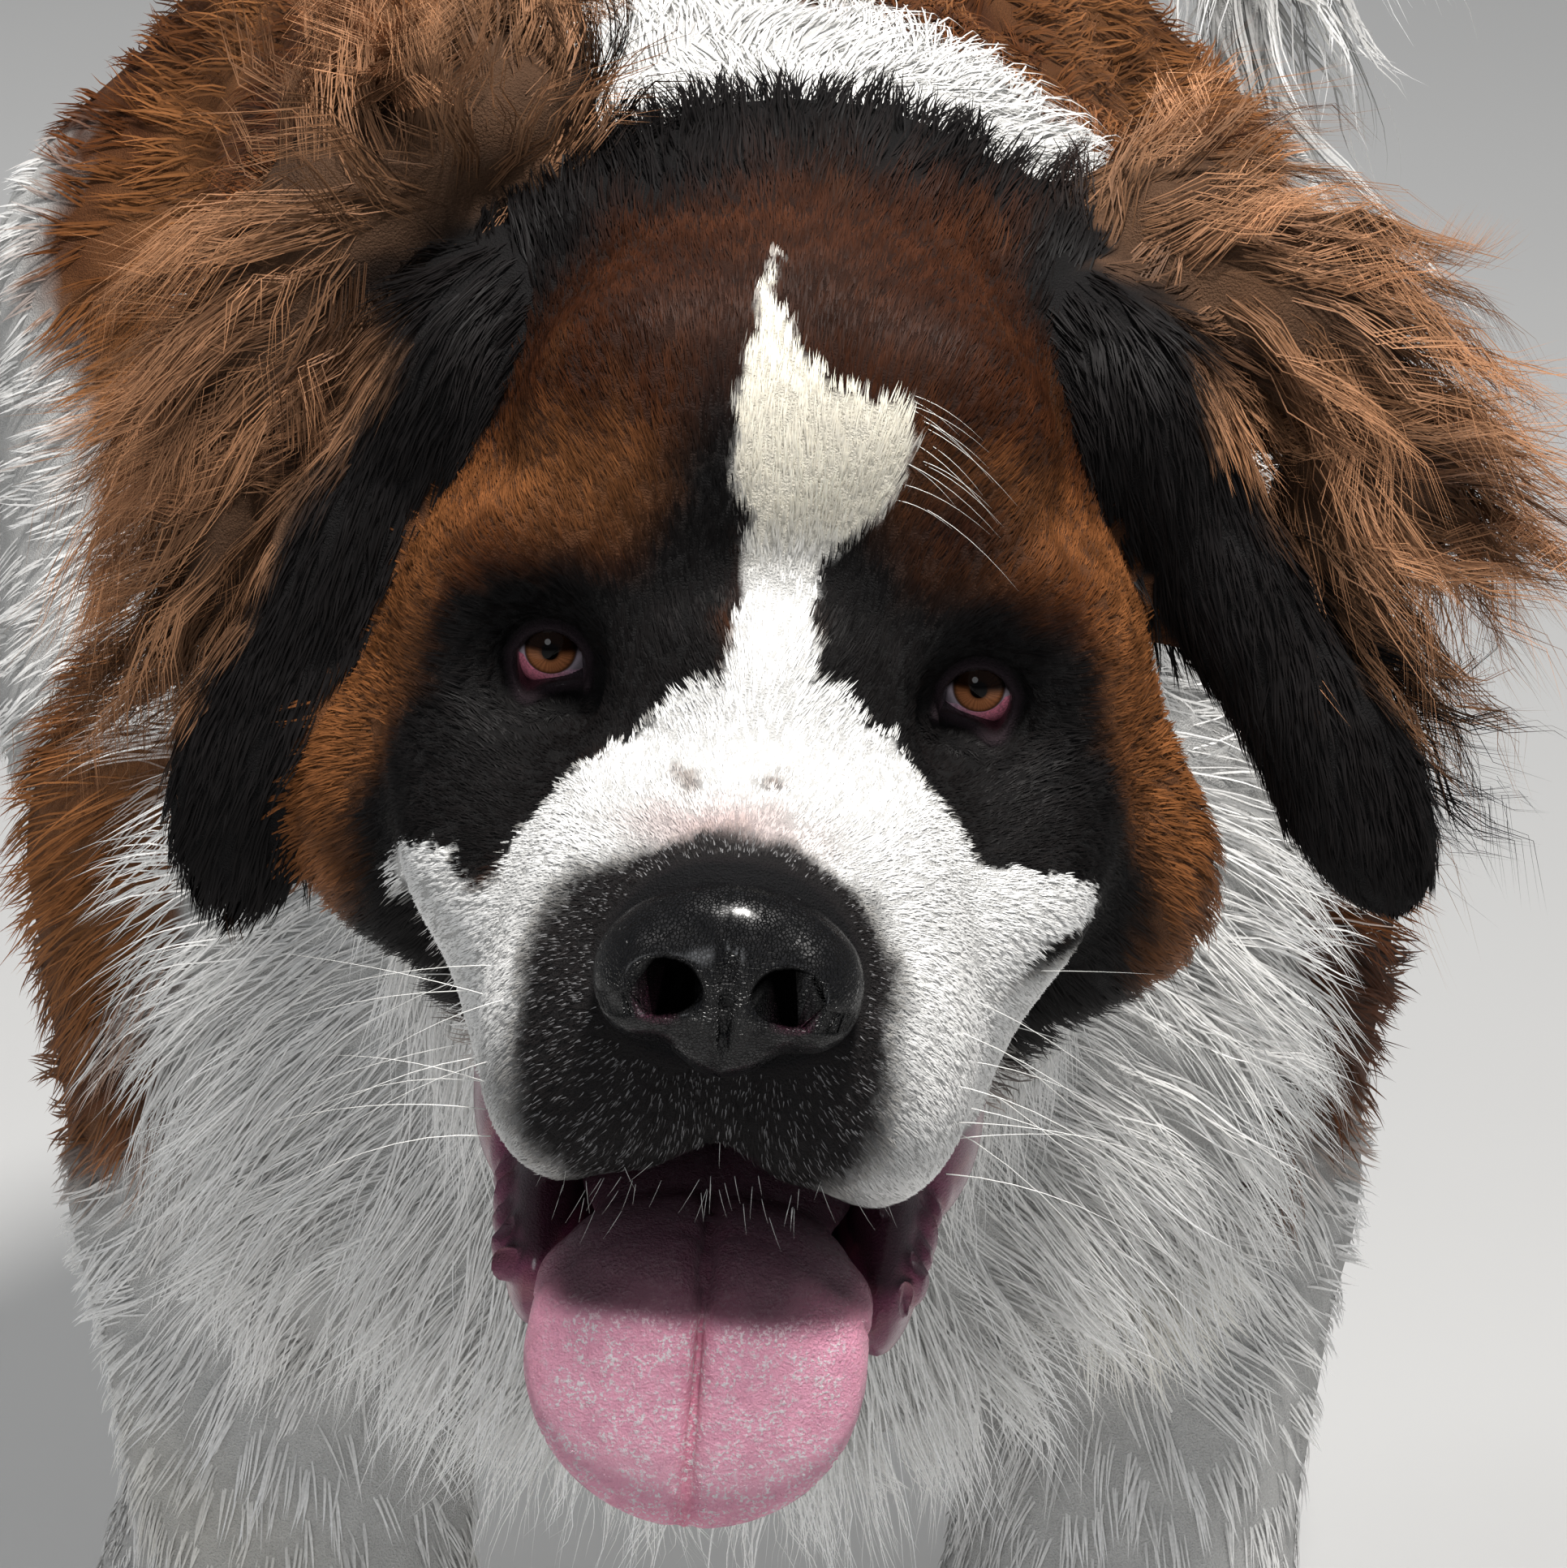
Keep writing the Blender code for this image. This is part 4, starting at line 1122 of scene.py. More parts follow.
def tail_lie(body):
    """Along the swing of the tail, hanging a little."""
    across, forward, _ = body.T
    along = np.column_stack((
        0.3 + 0.7 * ease(-46, -52, forward), 0.9 * ease(-60, -50, forward) * -1.0 + 0.2,
        0.3 - 1.2 * ease(8, 20, across),
    ))
    return along + np.array((0.0, -0.15, -0.75))


def lie_of_coat(points, normals, region, length):
    """The way the hair points at each place, along the skin."""
    head = seen_from(HEAD_FRAME, points)
    body = seen_from(FLOOR_FRAME, points)
    wander = wandering(points / CM, 5.0, 60)
    ways = np.zeros_like(points)
    ways[region == HEAD] = ways_from(HEAD_FRAME, head_lie(head))[region == HEAD]
    for index, sign in EAR_SIDES.items():
        here = region == index
        lies = ear_lie(head[here], wander[here], length[here], sign)
        ways[here] = ways_from(HEAD_FRAME, lies)
    ways[region >= TRUNK] = ways_from(FLOOR_FRAME, body_lie(body, wander))[region >= TRUNK]
    ways[region == TAIL_END] = ways_from(FLOOR_FRAME, tail_lie(body))[region == TAIL_END]
    return unit(ways - normals * (ways * normals).sum(axis=1)[:, None])


# A flat unwrap of the skin: each side of each part of the body has its own place on the map.

# The map's width and the gap about each place, in metres of skin, before it is scaled to 1, and
# the breadth of a tuft's patch on it, after that.
MAP_WIDTH = 2.6
MAP_MARGIN = 0.01
PATCH = 0.003


def unwrap(corners, normals, region):
    """Places the corners of the skin's triangles on the map. corners is (triangles, 3, 3)."""
    axis = np.argmax(np.abs(normals), axis=1)
    facing = np.take_along_axis(normals, axis[:, None], 1)[:, 0] > 0
    chart = region * 6 + axis * 2 + facing
    flat = np.zeros((len(corners), 3, 2))
    for way in range(3):
        kept = [other for other in range(3) if other != way]
        flat[axis == way] = corners[axis == way][:, :, kept]
    shelf_x, shelf_y, shelf_height = MAP_MARGIN, MAP_MARGIN, 0.0
    spans = []
    for number in np.unique(chart):
        here = flat[chart == number].reshape(-1, 2)
        spans.append((np.ptp(here[:, 1]), np.ptp(here[:, 0]), number, here.min(axis=0)))
    for height, width, number, corner in sorted(spans, key=lambda item: -item[0]):
        if shelf_x + width > MAP_WIDTH:
            shelf_x, shelf_y, shelf_height = MAP_MARGIN, shelf_y + shelf_height + MAP_MARGIN, 0.0
        flat[chart == number] += np.array((shelf_x, shelf_y)) - corner
        shelf_x += width + MAP_MARGIN
        shelf_height = max(shelf_height, height)
    return flat / max(MAP_WIDTH, shelf_y + shelf_height + MAP_MARGIN)


def skin_triangles(mesh):
    """The corners of the skin's triangles, as vertices and as loops."""
    mesh.calc_loop_triangles()
    return [numbers_of(mesh.loop_triangles, key, 3, np.int32) for key in ("vertices", "loops")]


def set_map(mesh, flat):
    bake = mesh.uv_layers.new(name="OFBake")
    bake.data.foreach_set("uv", flat.astype(np.float32).ravel())


# Hair in tufts.

def scatter(rng, weights, count):
    """Chooses triangles by weight, and a place on each."""
    chosen = np.searchsorted(np.cumsum(weights), rng.uniform(0, weights.sum(), count))
    share = rng.uniform(size=(count, 2))
    over = share.sum(axis=1) > 1
    share[over] = 1 - share[over]
    return chosen, np.column_stack((1 - share.sum(axis=1), share))


def at_places(values, chosen, share):
    """Values given at the three corners of each triangle, at the chosen places."""
    picked = values[chosen]
    if picked.ndim == 2:
        return (picked * share).sum(axis=1)
    return (picked * share[:, :, None]).sum(axis=1)


# How broad a lock of curly hair is, in centimetres.
LOCK_SIZE = 1.7
# How deep the hair's roots stand in the skin, and how low its tips may hang, in metres.
ROOT_DEPTH = 0.0006
LOWEST_TIP = 0.0012
# The share of grey hairs in the nose's ring, and their colour.
GREY_SHARE = 0.20
GREY = (0.20, 0.20, 0.21)
BRIGHTEST = 0.92


class Hairs:
    """The hairs of one piece of coat, and what each hair, tuft and lock draws by chance."""

    def __init__(self, tufts, in_tuft, seed):
        self.rng = np.random.default_rng(seed)
        self.in_tuft = in_tuft
        self.repeat = np.repeat(np.arange(len(tufts["root"])), in_tuft)
        self.count = len(self.repeat)
        self.spots = tufts["root"] / CM
        for key in tufts:
            setattr(self, key, tufts[key][self.repeat])
        self.curl = ease(0.0035, 0.005, self.wave)
        # Curly hair gathers into locks that lean and curl as one.
        cells = np.floor(self.spots / LOCK_SIZE + 0.35 * wandering(self.spots, 3.0, 84))
        _, member = np.unique(cells.astype(int), axis=0, return_inverse=True)
        self.member = member.ravel()
        self.in_lock = np.bincount(self.member)
        self.lock_root, self.lock_way = (self.lock_mean(tufts[key]) for key in ("root", "way"))

    def lock_mean(self, values):
        means = [np.bincount(self.member, values[:, axis]) / self.in_lock for axis in range(3)]
        return np.column_stack(means)[self.member][self.repeat]

    def rippled(self, scale, seed):
        return ripple(self.spots, scale, seed)[self.repeat]

    def each(self, low, high):
        return self.rng.uniform(low, high, self.count)

    def by_tuft(self, low, high):
        return self.rng.uniform(low, high, len(self.spots))[self.repeat]

    def by_lock(self, low, high):
        return self.rng.uniform(low, high, len(self.in_lock))[self.member][self.repeat]


def hair_paths(hairs, share):
    """The line of each hair from root to tip, as (hairs, places, 3)."""
    each, by_tuft, by_lock = hairs.each, hairs.by_tuft, hairs.by_lock
    normal, length, curl, wave = hairs.normal, hairs.length, hairs.curl, hairs.wave
    side = np.cross(normal, hairs.way)
    lock = hairs.rippled(2.6, 82) * ease(0.008, 0.03, length)
    lean = 0.22 * lock + (1 - 0.75 * curl) * (by_tuft(-0.10, 0.10) + each(-0.08, 0.08))
    lean = lean + curl * by_lock(-0.3, 0.3)
    way = blended(hairs.way, hairs.lock_way, 0.85 * curl)
    way = unit(way + side * lean[:, None])
    side = np.cross(normal, way)
    angle = np.radians(hairs.lift * by_tuft(0.6, 1.35) * each(0.75, 1.25))
    angle = blended_numbers(angle, np.radians(hairs.lift) * by_lock(0.2, 2.0), curl)
    long = length * by_tuft(0.75, 1.12) * each(0.72, 1.08)
    phase = 2 * math.pi * 0.8 * hairs.rippled(6.0, 81) + by_tuft(-0.7, 0.7) + each(-0.3, 0.3)
    turns = by_tuft(0.6, 1.1) * np.clip(length / (4.2 * CM), 0.5, 2.1)
    sweep = wave * by_tuft(0.5, 1.4)
    pull = (hairs.lock_root - hairs.root) * (curl * each(0.6, 0.95))[:, None]
    phase = blended_numbers(phase, by_lock(0, 2 * math.pi) + each(-0.22, 0.22), curl)
    turns = blended_numbers(turns, by_lock(1.1, 2.0) * each(0.97, 1.03), curl)
    sweep = blended_numbers(sweep, wave * by_lock(0.4, 1.0), curl)
    long = long * (1 + curl * by_lock(-0.25, 0.2))
    reach = (hairs.width * hairs.in_tuft * 0.35 + length * 0.035) * (1 - 0.45 * curl)
    spread = hairs.rng.normal(size=(hairs.count, 2)) * reach[:, None]
    gather = each(0.25, 0.8)
    droop = 0.16 * ease(0.025, 0.07, length)

    path = np.zeros((hairs.count, len(share), 3))
    for index, t in enumerate(share):
        forward = np.cos(angle) * t
        rise = np.sin(angle) * t * (1.15 - 0.6 * t)
        swing = sweep * t**0.8 * np.sin(2 * math.pi * turns * t + phase)
        heave = sweep * (0.5 + 0.25 * curl) * t**0.8 * np.cos(2 * math.pi * turns * t + phase)
        closing = 1 - gather * t
        path[:, index] = (
            hairs.root
            + way * (long * forward)[:, None]
            + normal * (long * rise + np.abs(spread[:, 1]) * 0.3 * t + heave)[:, None]
            + side * (swing + spread[:, 0] * closing)[:, None]
            + way * (spread[:, 1] * closing)[:, None]
            + pull * t**0.7
        )
        path[:, index, 2] -= droop * long * t * t
    path[:, 0] -= normal * ROOT_DEPTH
    path[:, :, 2] = np.maximum(path[:, :, 2], LOWEST_TIP)
    return path


def hair_edges(hairs, path, share):
    """The corners of each hair's tapering strip: left and right by turns, and the tip."""
    steps = len(share) - 1
    tangent = np.gradient(path, axis=1)
    tangent /= np.maximum(np.linalg.norm(tangent, axis=2, keepdims=True), 1e-9)
    roll = hairs.each(-1, 1) * (0.25 + 0.4 * ease(0.02, 0.07, hairs.length))
    roll = roll[:, None, None]
    normal = hairs.normal[:, None, :]
    broad = np.cross(tangent, normal)
    broad /= np.maximum(np.linalg.norm(broad, axis=2, keepdims=True), 1e-9)
    broad = broad * np.cos(roll) + normal * np.sin(roll)
    profile = (0.75 + 0.25 * np.sin(math.pi * share)) * (1 - share**2.2)
    half = 0.5 * hairs.width[:, None] * hairs.each(0.7, 1.3)[:, None] * profile[None, :]
    places = np.empty((hairs.count, 2 * steps + 1, 3))
    places[:, 0:2 * steps:2] = (path - broad * half[:, :, None])[:, :steps]
    places[:, 1:2 * steps:2] = (path + broad * half[:, :, None])[:, :steps]
    places[:, -1] = path[:, -1]
    return places


def hair_faces(count, steps):
    """Each hair is a strip of triangles that ends in a point."""
    strip = []
    for first in range(0, 2 * steps - 2, 2):
        strip += [(first, first + 1, first + 3), (first, first + 3, first + 2)]
    strip.append((2 * steps - 2, 2 * steps - 1, 2 * steps))
    firsts = np.arange(count)[:, None, None] * (2 * steps + 1)
    return (firsts + np.array(strip)[None]).reshape(-1, 3)


def hair_tints(hairs, along):
    """Colours from each hair's root, painted darker as painted shade, to its light, warmer tip."""
    length, curl = hairs.length, hairs.curl
    pale = ease(0.3, 0.7, hairs.colour.mean(axis=1))
    rough = (0.7 + 0.3 * ease(0.004, 0.02, length)) * (1 - 0.6 * pale)
    lock_tone = 1 + 0.16 * rough * hairs.rippled(1.8, 83)
    lock_tone = lock_tone * (1 + curl * hairs.by_lock(-0.45, 0.3))
    jitter = (hairs.by_tuft(-0.13, 0.12) + hairs.each(-0.20, 0.20)) * (1 - 0.4 * curl)
    bright = (lock_tone * (1 + rough * jitter))[:, None]
    grey = hairs.ring * (hairs.rng.uniform(size=hairs.count) < GREY_SHARE)
    tint = blended(hairs.colour * bright, np.array(GREY), grey * hairs.each(0.3, 1))
    # Painted shade: each hair is painted darker towards its root, most where it is long or curly.
    painted_root_shade = 0.84 - (0.22 - 0.16 * pale + 0.2 * curl) * ease(0.01, 0.04, length)
    painted_root_shade = painted_root_shade[:, None]
    shade = painted_root_shade + (1.08 - painted_root_shade) * along[None, :]
    tints = np.clip(tint[:, None, :] * shade[:, :, None], 0, BRIGHTEST)
    is_dark = (tint.mean(axis=1) < 0.4)[:, None, None]
    warm = 1 + 0.10 * along[None, :, None] * np.array((1.0, 0.7, 0.2)) * is_dark
    return np.clip(tints * warm, 0, BRIGHTEST)


def hair_mesh(name, tufts, in_tuft, steps, seed):
    """One mesh of tapering hairs, several to a tuft, each tuft leaning together at its tip.

    tufts holds the roots, normals, ways, coats, colours and map places of the tufts.
    """
    hairs = Hairs(tufts, in_tuft, seed)
    share = np.linspace(0, 1, steps + 1)
    along = np.append(np.repeat(share[:steps], 2), 1.0)
    places = hair_edges(hairs, hair_paths(hairs, share), share)
    faces = hair_faces(hairs.count, steps)
    mesh = bpy.data.meshes.new(name)
    mesh.vertices.add(hairs.count * len(along))
    mesh.vertices.foreach_set("co", places.astype(np.float32).ravel())
    mesh.loops.add(len(faces) * 3)
    mesh.loops.foreach_set("vertex_index", faces.astype(np.int32).ravel())
    mesh.polygons.add(len(faces))
    mesh.polygons.foreach_set("loop_start", np.arange(0, len(faces) * 3, 3, dtype=np.int32))
    mesh.polygons.foreach_set("use_smooth", np.ones(len(faces), bool))
    mesh.update(calc_edges=True)
    paint(mesh, "tint", hair_tints(hairs, along).reshape(-1, 3))
    across = np.append(np.tile((0.0, 1.0), steps), 0.5)
    patch = np.column_stack((across - 0.5, along - 0.5)) * PATCH
    flat = (hairs.map[:, None, :] + patch[None]).reshape(-1, 2)
    set_map(mesh, flat[faces.ravel()])
    return link(name, mesh)


# Classes of hair by length: the longest in metres, hairs to a tuft and steps along each hair.
HAIR_CLASSES = (
    ("down", 0.009, 3, 2), ("short", 0.025, 4, 3), ("middle", 0.053, 5, 4), ("long", 0.0645, 6, 5),
    ("flowing", 9.0, 7, 9),
)
# Steps along the curly hair of the ears.
CURLY_STEPS = 13
# The most triangles in a piece, the fewest tufts worth a piece, and the share of its width that
# a hair covers on the whole.
PIECE_LIMIT = 190000
FEWEST_TUFTS = 40
COVERED = 0.6


def coat_pieces(share_of_coat):
    """All hair over the skin, in pieces of one length class and part of the body each."""
    skin = MODEL["skin_data"]
    rng = np.random.default_rng(7)
    density = skin["cover"] / (skin["length"] * skin["width"] * COVERED)
    hairs_here = density * skin["area"] * (1 - skin["bare"])
    kinds = np.digitize(skin["length"], [limit for _, limit, _, _ in HAIR_CLASSES[:-1]])
    per_hair = np.array([2 * steps - 1 for _, _, _, steps in HAIR_CLASSES])
    expected = (hairs_here * per_hair[kinds]).sum()
    thin = sizes().coat_triangles * share_of_coat / expected
    made = []
    for kind, (label, _, hairs, class_steps) in enumerate(HAIR_CLASSES):
        for index, part in enumerate(REGIONS):
            steps = CURLY_STEPS if label == "flowing" and part.startswith("ear") else class_steps
            weights = np.where((kinds == kind) & (skin["region"] == index), hairs_here, 0.0)
            tufts_wanted = int(weights.sum() * thin / hairs)
            if tufts_wanted < FEWEST_TUFTS:
                continue
            chosen, share = scatter(rng, weights, tufts_wanted)
            roots = at_places(skin["corners"], chosen, share)
            normals = unit(at_places(skin["corner_normals"], chosen, share))
            coat = at_places(skin["corner_fur"], chosen, share)
            regions = np.full(len(roots), index)
            colours, ring = coat_colours(roots, regions)
            tufts = {
                "root": roots, "normal": normals,
                "way": lie_of_coat(roots, normals, regions, coat[:, 1]),
                "length": coat[:, 1] * CM, "width": coat[:, 2] * CM, "lift": coat[:, 3],
                "wave": coat[:, 4] * CM, "colour": colours, "ring": ring,
                "map": at_places(skin["corner_map"], chosen, share),
            }
            tuft_triangles = hairs * (2 * steps - 1)
            parts = math.ceil(tufts_wanted * tuft_triangles / PIECE_LIMIT)
            for number in range(parts):
                group = {key: values[number::parts] for key, values in tufts.items()}
                name = f"coat_{part}_{label}" + (f"_{number + 1}" if parts > 1 else "")
                seed = 100 + kind * 50 + index * 5 + number
                made.append(hair_mesh(name, group, hairs, steps, seed))
    return made


# Materials, written as sums of shader sockets.

class Wire:
    """The output of a shader node, used in sums like a number."""

    def __init__(self, graph, socket):
        self.graph = graph
        self.socket = socket

    def _with(self, operation, other, swapped=False):
        first, second = (other, self) if swapped else (self, other)
        return self.graph.node("ShaderNodeMath", {"operation": operation}, {0: first, 1: second})

    def __add__(self, other):
        return self._with("ADD", other)

    __radd__ = __add__

    def __sub__(self, other):
        return self._with("SUBTRACT", other)

    def __rsub__(self, other):
        return self._with("SUBTRACT", other, swapped=True)

    def __mul__(self, other):
        return self._with("MULTIPLY", other)

    __rmul__ = __mul__


class Graph:
    """A material built from expressions."""

    def __init__(self, name, **plain):
        self.material = bpy.data.materials.new(name)
        self.material.use_nodes = True
        self.tree = self.material.node_tree
        self.shader = self.tree.nodes["Principled BSDF"]
        for socket, value in plain.items():
            self.shader.inputs[socket.replace("_", " ")].default_value = value

    def node(self, kind, settings=None, values=None, output=0):
        made = self.tree.nodes.new(kind)
        for setting, value in (settings or {}).items():
            setattr(made, setting, value)
        for socket, value in (values or {}).items():
            if isinstance(value, Wire):
                self.tree.links.new(value.socket, made.inputs[socket])
            elif value is not None:
                made.inputs[socket].default_value = value
        return Wire(self, made.outputs[output])

    def feed(self, socket, wire):
        self.tree.links.new(wire.socket, self.shader.inputs[socket])

    def stored(self, name):
        """A colour painted on the mesh."""
        return self.node("ShaderNodeAttribute", {"attribute_name": name})

    def stored_number(self, name):
        return self.node("ShaderNodeAttribute", {"attribute_name": name}, output=2)

    def place(self):
        return self.node("ShaderNodeTexCoord", output="Object")

    def noise(self, scale, detail=3.0, roughness=0.55, distortion=0.0):
        return self.node(
            "ShaderNodeTexNoise", {},
            {"Vector": self.place(), "Scale": scale, "Detail": detail, "Roughness": roughness,
             "Distortion": distortion},
        )

    def cells(self, scale, feature="F1"):
        return self.node(
            "ShaderNodeTexVoronoi", {"feature": feature}, {"Vector": self.place(), "Scale": scale}
        )

    def spread(self, wire, low, high, to_low, to_high):
        return self.node(
            "ShaderNodeMapRange", {"clamp": True},
            {"Value": wire, "From Min": low, "From Max": high, "To Min": to_low, "To Max": to_high},
        )

    def mixed(self, share, first, second):
        """Mixes two colours."""
        first, second = (
            value if isinstance(value, Wire) else (*value, 1.0) for value in (first, second)
        )
        return self.node(
            "ShaderNodeMix", {"data_type": "RGBA"}, {0: share, 6: first, 7: second}, output=2
        )

    def scaled(self, colours, factor):
        """A colour made lighter or darker by a number."""
        return self.node(
            "ShaderNodeVectorMath", {"operation": "SCALE"}, {0: colours, "Scale": factor}
        )

    def bump(self, height, distance):
        values = {"Height": height, "Distance": distance, "Strength": 1.0}
        self.feed("Normal", self.node("ShaderNodeBump", {}, values))


def hair_material():
    graph = Graph("coat_hair", Roughness=0.50, Specular_IOR_Level=0.07)
    tint = graph.stored("tint")
    grain = graph.noise(900.0, 2.0)
    graph.feed("Base Color", graph.scaled(tint, grain * 0.5 + 0.75))
    graph.feed("Roughness", grain * 0.2 + 0.42)
    return graph.material


def skin_material():
    graph = Graph("coat_skin", Specular_IOR_Level=0.18, Coat_Roughness=0.16)
    tint = graph.stored("tint")
    wet = graph.stored_number("wet")
    fleck = graph.noise(1600.0, 4.0)
    patchy = graph.noise(120.0, 3.0)
    graph.feed("Base Color", graph.scaled(tint, fleck * 0.5 + patchy * 0.3 + 0.58))
    graph.feed("Roughness", 0.78 - wet * 0.52 + fleck * 0.08)
    graph.feed("Coat Weight", wet * 0.6)
    graph.bump(fleck + patchy * 0.8, 0.0011)
    return graph.material


def eye_material():
    graph = Graph(
        "eye_ball", Roughness=0.6, Coat_Weight=0.26, Coat_Roughness=0.02, Specular_IOR_Level=0.0
    )
    tint = graph.stored("tint")
    fibres = graph.noise(2600.0, 4.0)
    graph.feed("Base Color", graph.scaled(tint, fibres * 0.6 + 0.7))
    return graph.material


def haw_material():
    graph = Graph("eye_haw", Roughness=0.18, Coat_Weight=1.0, Coat_Roughness=0.04)
    veins = graph.noise(900.0, 4.0, distortion=1.5)
    redness = graph.spread(veins, 0.42, 0.62, 1.0, 0.6)
    graph.feed("Base Color", graph.scaled(graph.stored("tint"), redness))
    graph.bump(veins, 0.0004)
    return graph.material


def nose_material():
    graph = Graph("nose_leather", Specular_IOR_Level=0.24, Coat_Roughness=0.2)
    cobbles = graph.cells(1150.0, "DISTANCE_TO_EDGE")
    raised = graph.spread(cobbles, 0.0, 0.16, 0.0, 1.0)
    damp = graph.noise(140.0, 3.0)
    tint = graph.stored("tint")
    painted_nostril_shade = graph.stored_number("painted_nostril_shade")
    # Painted shade: the colour is darker in the grooves between the cobbles.
    graph.feed("Base Color", graph.scaled(tint, (raised * 0.5 + 0.6) * (damp * 0.9 + 0.6)))
    graph.feed("Roughness", graph.spread(damp, 0.40, 0.60, 0.24, 0.46) + painted_nostril_shade * 0.5)
    graph.feed("Coat Weight", graph.spread(damp, 0.45, 0.62, 0.25, 0.0) * (1.0 - painted_nostril_shade))
    # Painted shade: the nostrils are also made black metal, which mirrors nothing, so they stay
    # dark inside.
    graph.feed("Metallic", painted_nostril_shade)
    graph.bump(raised + damp * 0.8, 0.0006)
    return graph.material


def tongue_material():
    graph = Graph(
        "tongue", Roughness=0.3, Specular_IOR_Level=0.6, Subsurface_Weight=0.04,
        Subsurface_Radius=(0.004, 0.0015, 0.001),
    )
    tint = graph.stored("tint")
    buds = graph.cells(1400.0)
    patchy = graph.noise(160.0, 4.0)
    beads = graph.noise(980.0, 5.0, 0.7)
    # Spittle stands on it in fine white beads, which also stand in for wet glints: partly real
    # foam, partly painted highlights.
    spittle_and_glints = graph.spread(beads, 0.51, 0.58, 0.0, 1.0)
    spittle_and_glints = spittle_and_glints * graph.spread(graph.noise(220.0, 2.0), 0.40, 0.54, 0.0, 0.9)
    wetted = graph.mixed(spittle_and_glints * graph.stored_number("wet"), tint, (1.0, 0.94, 0.97))
    graph.feed("Base Color", graph.scaled(wetted, patchy * 0.3 + 0.85))
    graph.feed("Roughness", graph.spread(patchy, 0.40, 0.60, 0.16, 0.42))
    graph.bump(buds * 0.3 + beads * 1.3 + patchy * 1.2, 0.0016)
    return graph.material


def whisker_material():
    graph = Graph("whisker", Roughness=0.35)
    graph.feed("Base Color", graph.mixed(graph.noise(60.0), (0.75, 0.74, 0.70), (0.92, 0.92, 0.90)))
    return graph.material


def claw_material():
    graph = Graph("claw", Roughness=0.35)
    bands = graph.noise(260.0, 3.0, distortion=1.0)
    graph.feed("Base Color", graph.mixed(bands, tone("horn") * 0.5, tone("horn") * 2.2))
    graph.feed("Roughness", bands * 0.3 + 0.25)
    graph.bump(bands, 0.0003)
    return graph.material


def floor_material():
    graph = Graph("studio_floor", Roughness=0.9, Specular_IOR_Level=0.2)
    pale = tone("floor")
    graph.feed("Base Color", graph.mixed(graph.noise(3.0), pale * 0.98, pale * 1.02))
    return graph.material


def dressed(obj, material):
    obj.data.materials.clear()
    obj.data.materials.append(material)
    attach(obj, "root")
    return obj


# The pieces.

LID_BLACK = (0.024, 0.015, 0.019)


def mouth_share(head, facing):
    """Where the skin lines the mouth: its roof, the flews' inner sides and its floor."""
    across, forward, up = head.T
    wide = np.abs(across)
    roof = ease(-0.4, -0.75, facing[:, 2]) * ease(4.6, 3.8, wide) * ease(-8.4, -9.0, up)
    roof *= (up > -12.6) * ease(8.5, 7.5, forward) * (forward > -6)
    inner = ease(0.3, 0.6, -facing[:, 0] * np.sign(across)) * ease(-8.8, -9.4, up)
    inner = inner * (up > -12.6) * (forward > -3) * (wide < 5)
    floor = ease(0.2, 0.5, facing[:, 2]) * ease(5.6, 4.8, wide) * (up < -9.5) * (up > -15.5)
    floor *= forward > -7
    return np.maximum.reduce([roof, inner, floor])


def bare_places(points, normals, opening, fur):
    """How bare, how wet and of what colour the hairless skin is: lids, lips, mouth and soles."""
    head = seen_from(HEAD_FRAME, points)
    facing = seen_from(Matrix(HEAD_FRAME.to_3x3()).to_4x4(), normals * CM)
    bare = ease(-0.42, -0.24, opening)
    wet = ease(-0.14, -0.02, opening)
    rim = 0.45 + 0.55 * np.exp(-(((opening + 0.15) / 0.1) ** 2))
    colours = np.tile(LID_BLACK, (len(points), 1)) * rim[:, None]
    ragged = ripple(head, 0.9, 71)
    lip_tone = blended(all_over(points, "lip"), tone("flesh"), ease(0.1, 1.4, ragged) * 0.7)
    sole = ease(0.006, 0.003, points[:, 2]) * ease(-0.3, -0.6, normals[:, 2])
    layers = (
        (ease(0.3, 0.6, fur[:, 6]), lip_tone, 0.9),
        # Inside the mouth the lip colour is painted much darker: painted shade.
        (mouth_share(head, facing), tone("lip") * 0.22, 0.7),
        (ease(1.06, 0.98, nose_distance(head)), tone("nose"), 0.0),
        (sole, tone("horn") * 0.6, 0.0),
    )
    for share, laid, wetness in layers:
        colours = blended(colours, laid, share)
        bare = np.maximum(bare, share)
        wet = np.maximum(wet, share * wetness)
    return bare, wet, colours


def trim_hair(fur, head, opening, region):
    """Shortens the hair towards the eyes and the nose, over the brows and down the left ear."""
    near_eye = ease(-1.3, -0.1, opening)
    fur[:, 1] *= 1 - 0.62 * near_eye
    fur[:, 2] *= 1 - 0.35 * near_eye
    over_brows = (region == HEAD) & (head[:, 2] > 1)
    longest = np.where(over_brows, 0.65 + 0.4 * np.maximum(-head[:, 1] - 5.5, 0), 99)
    fur[:, 1] = np.minimum(fur[:, 1], longest)
    on_left_ear = region == REGIONS.index("ear_left")
    fur[:, 1] *= 1 - 0.65 * ease(-1.0, -5.0, as_seen(head)[:, 2]) * on_left_ear
    fur[:, 1] *= 1 - 0.4 * ease(1.7, 1.1, nose_distance(head))


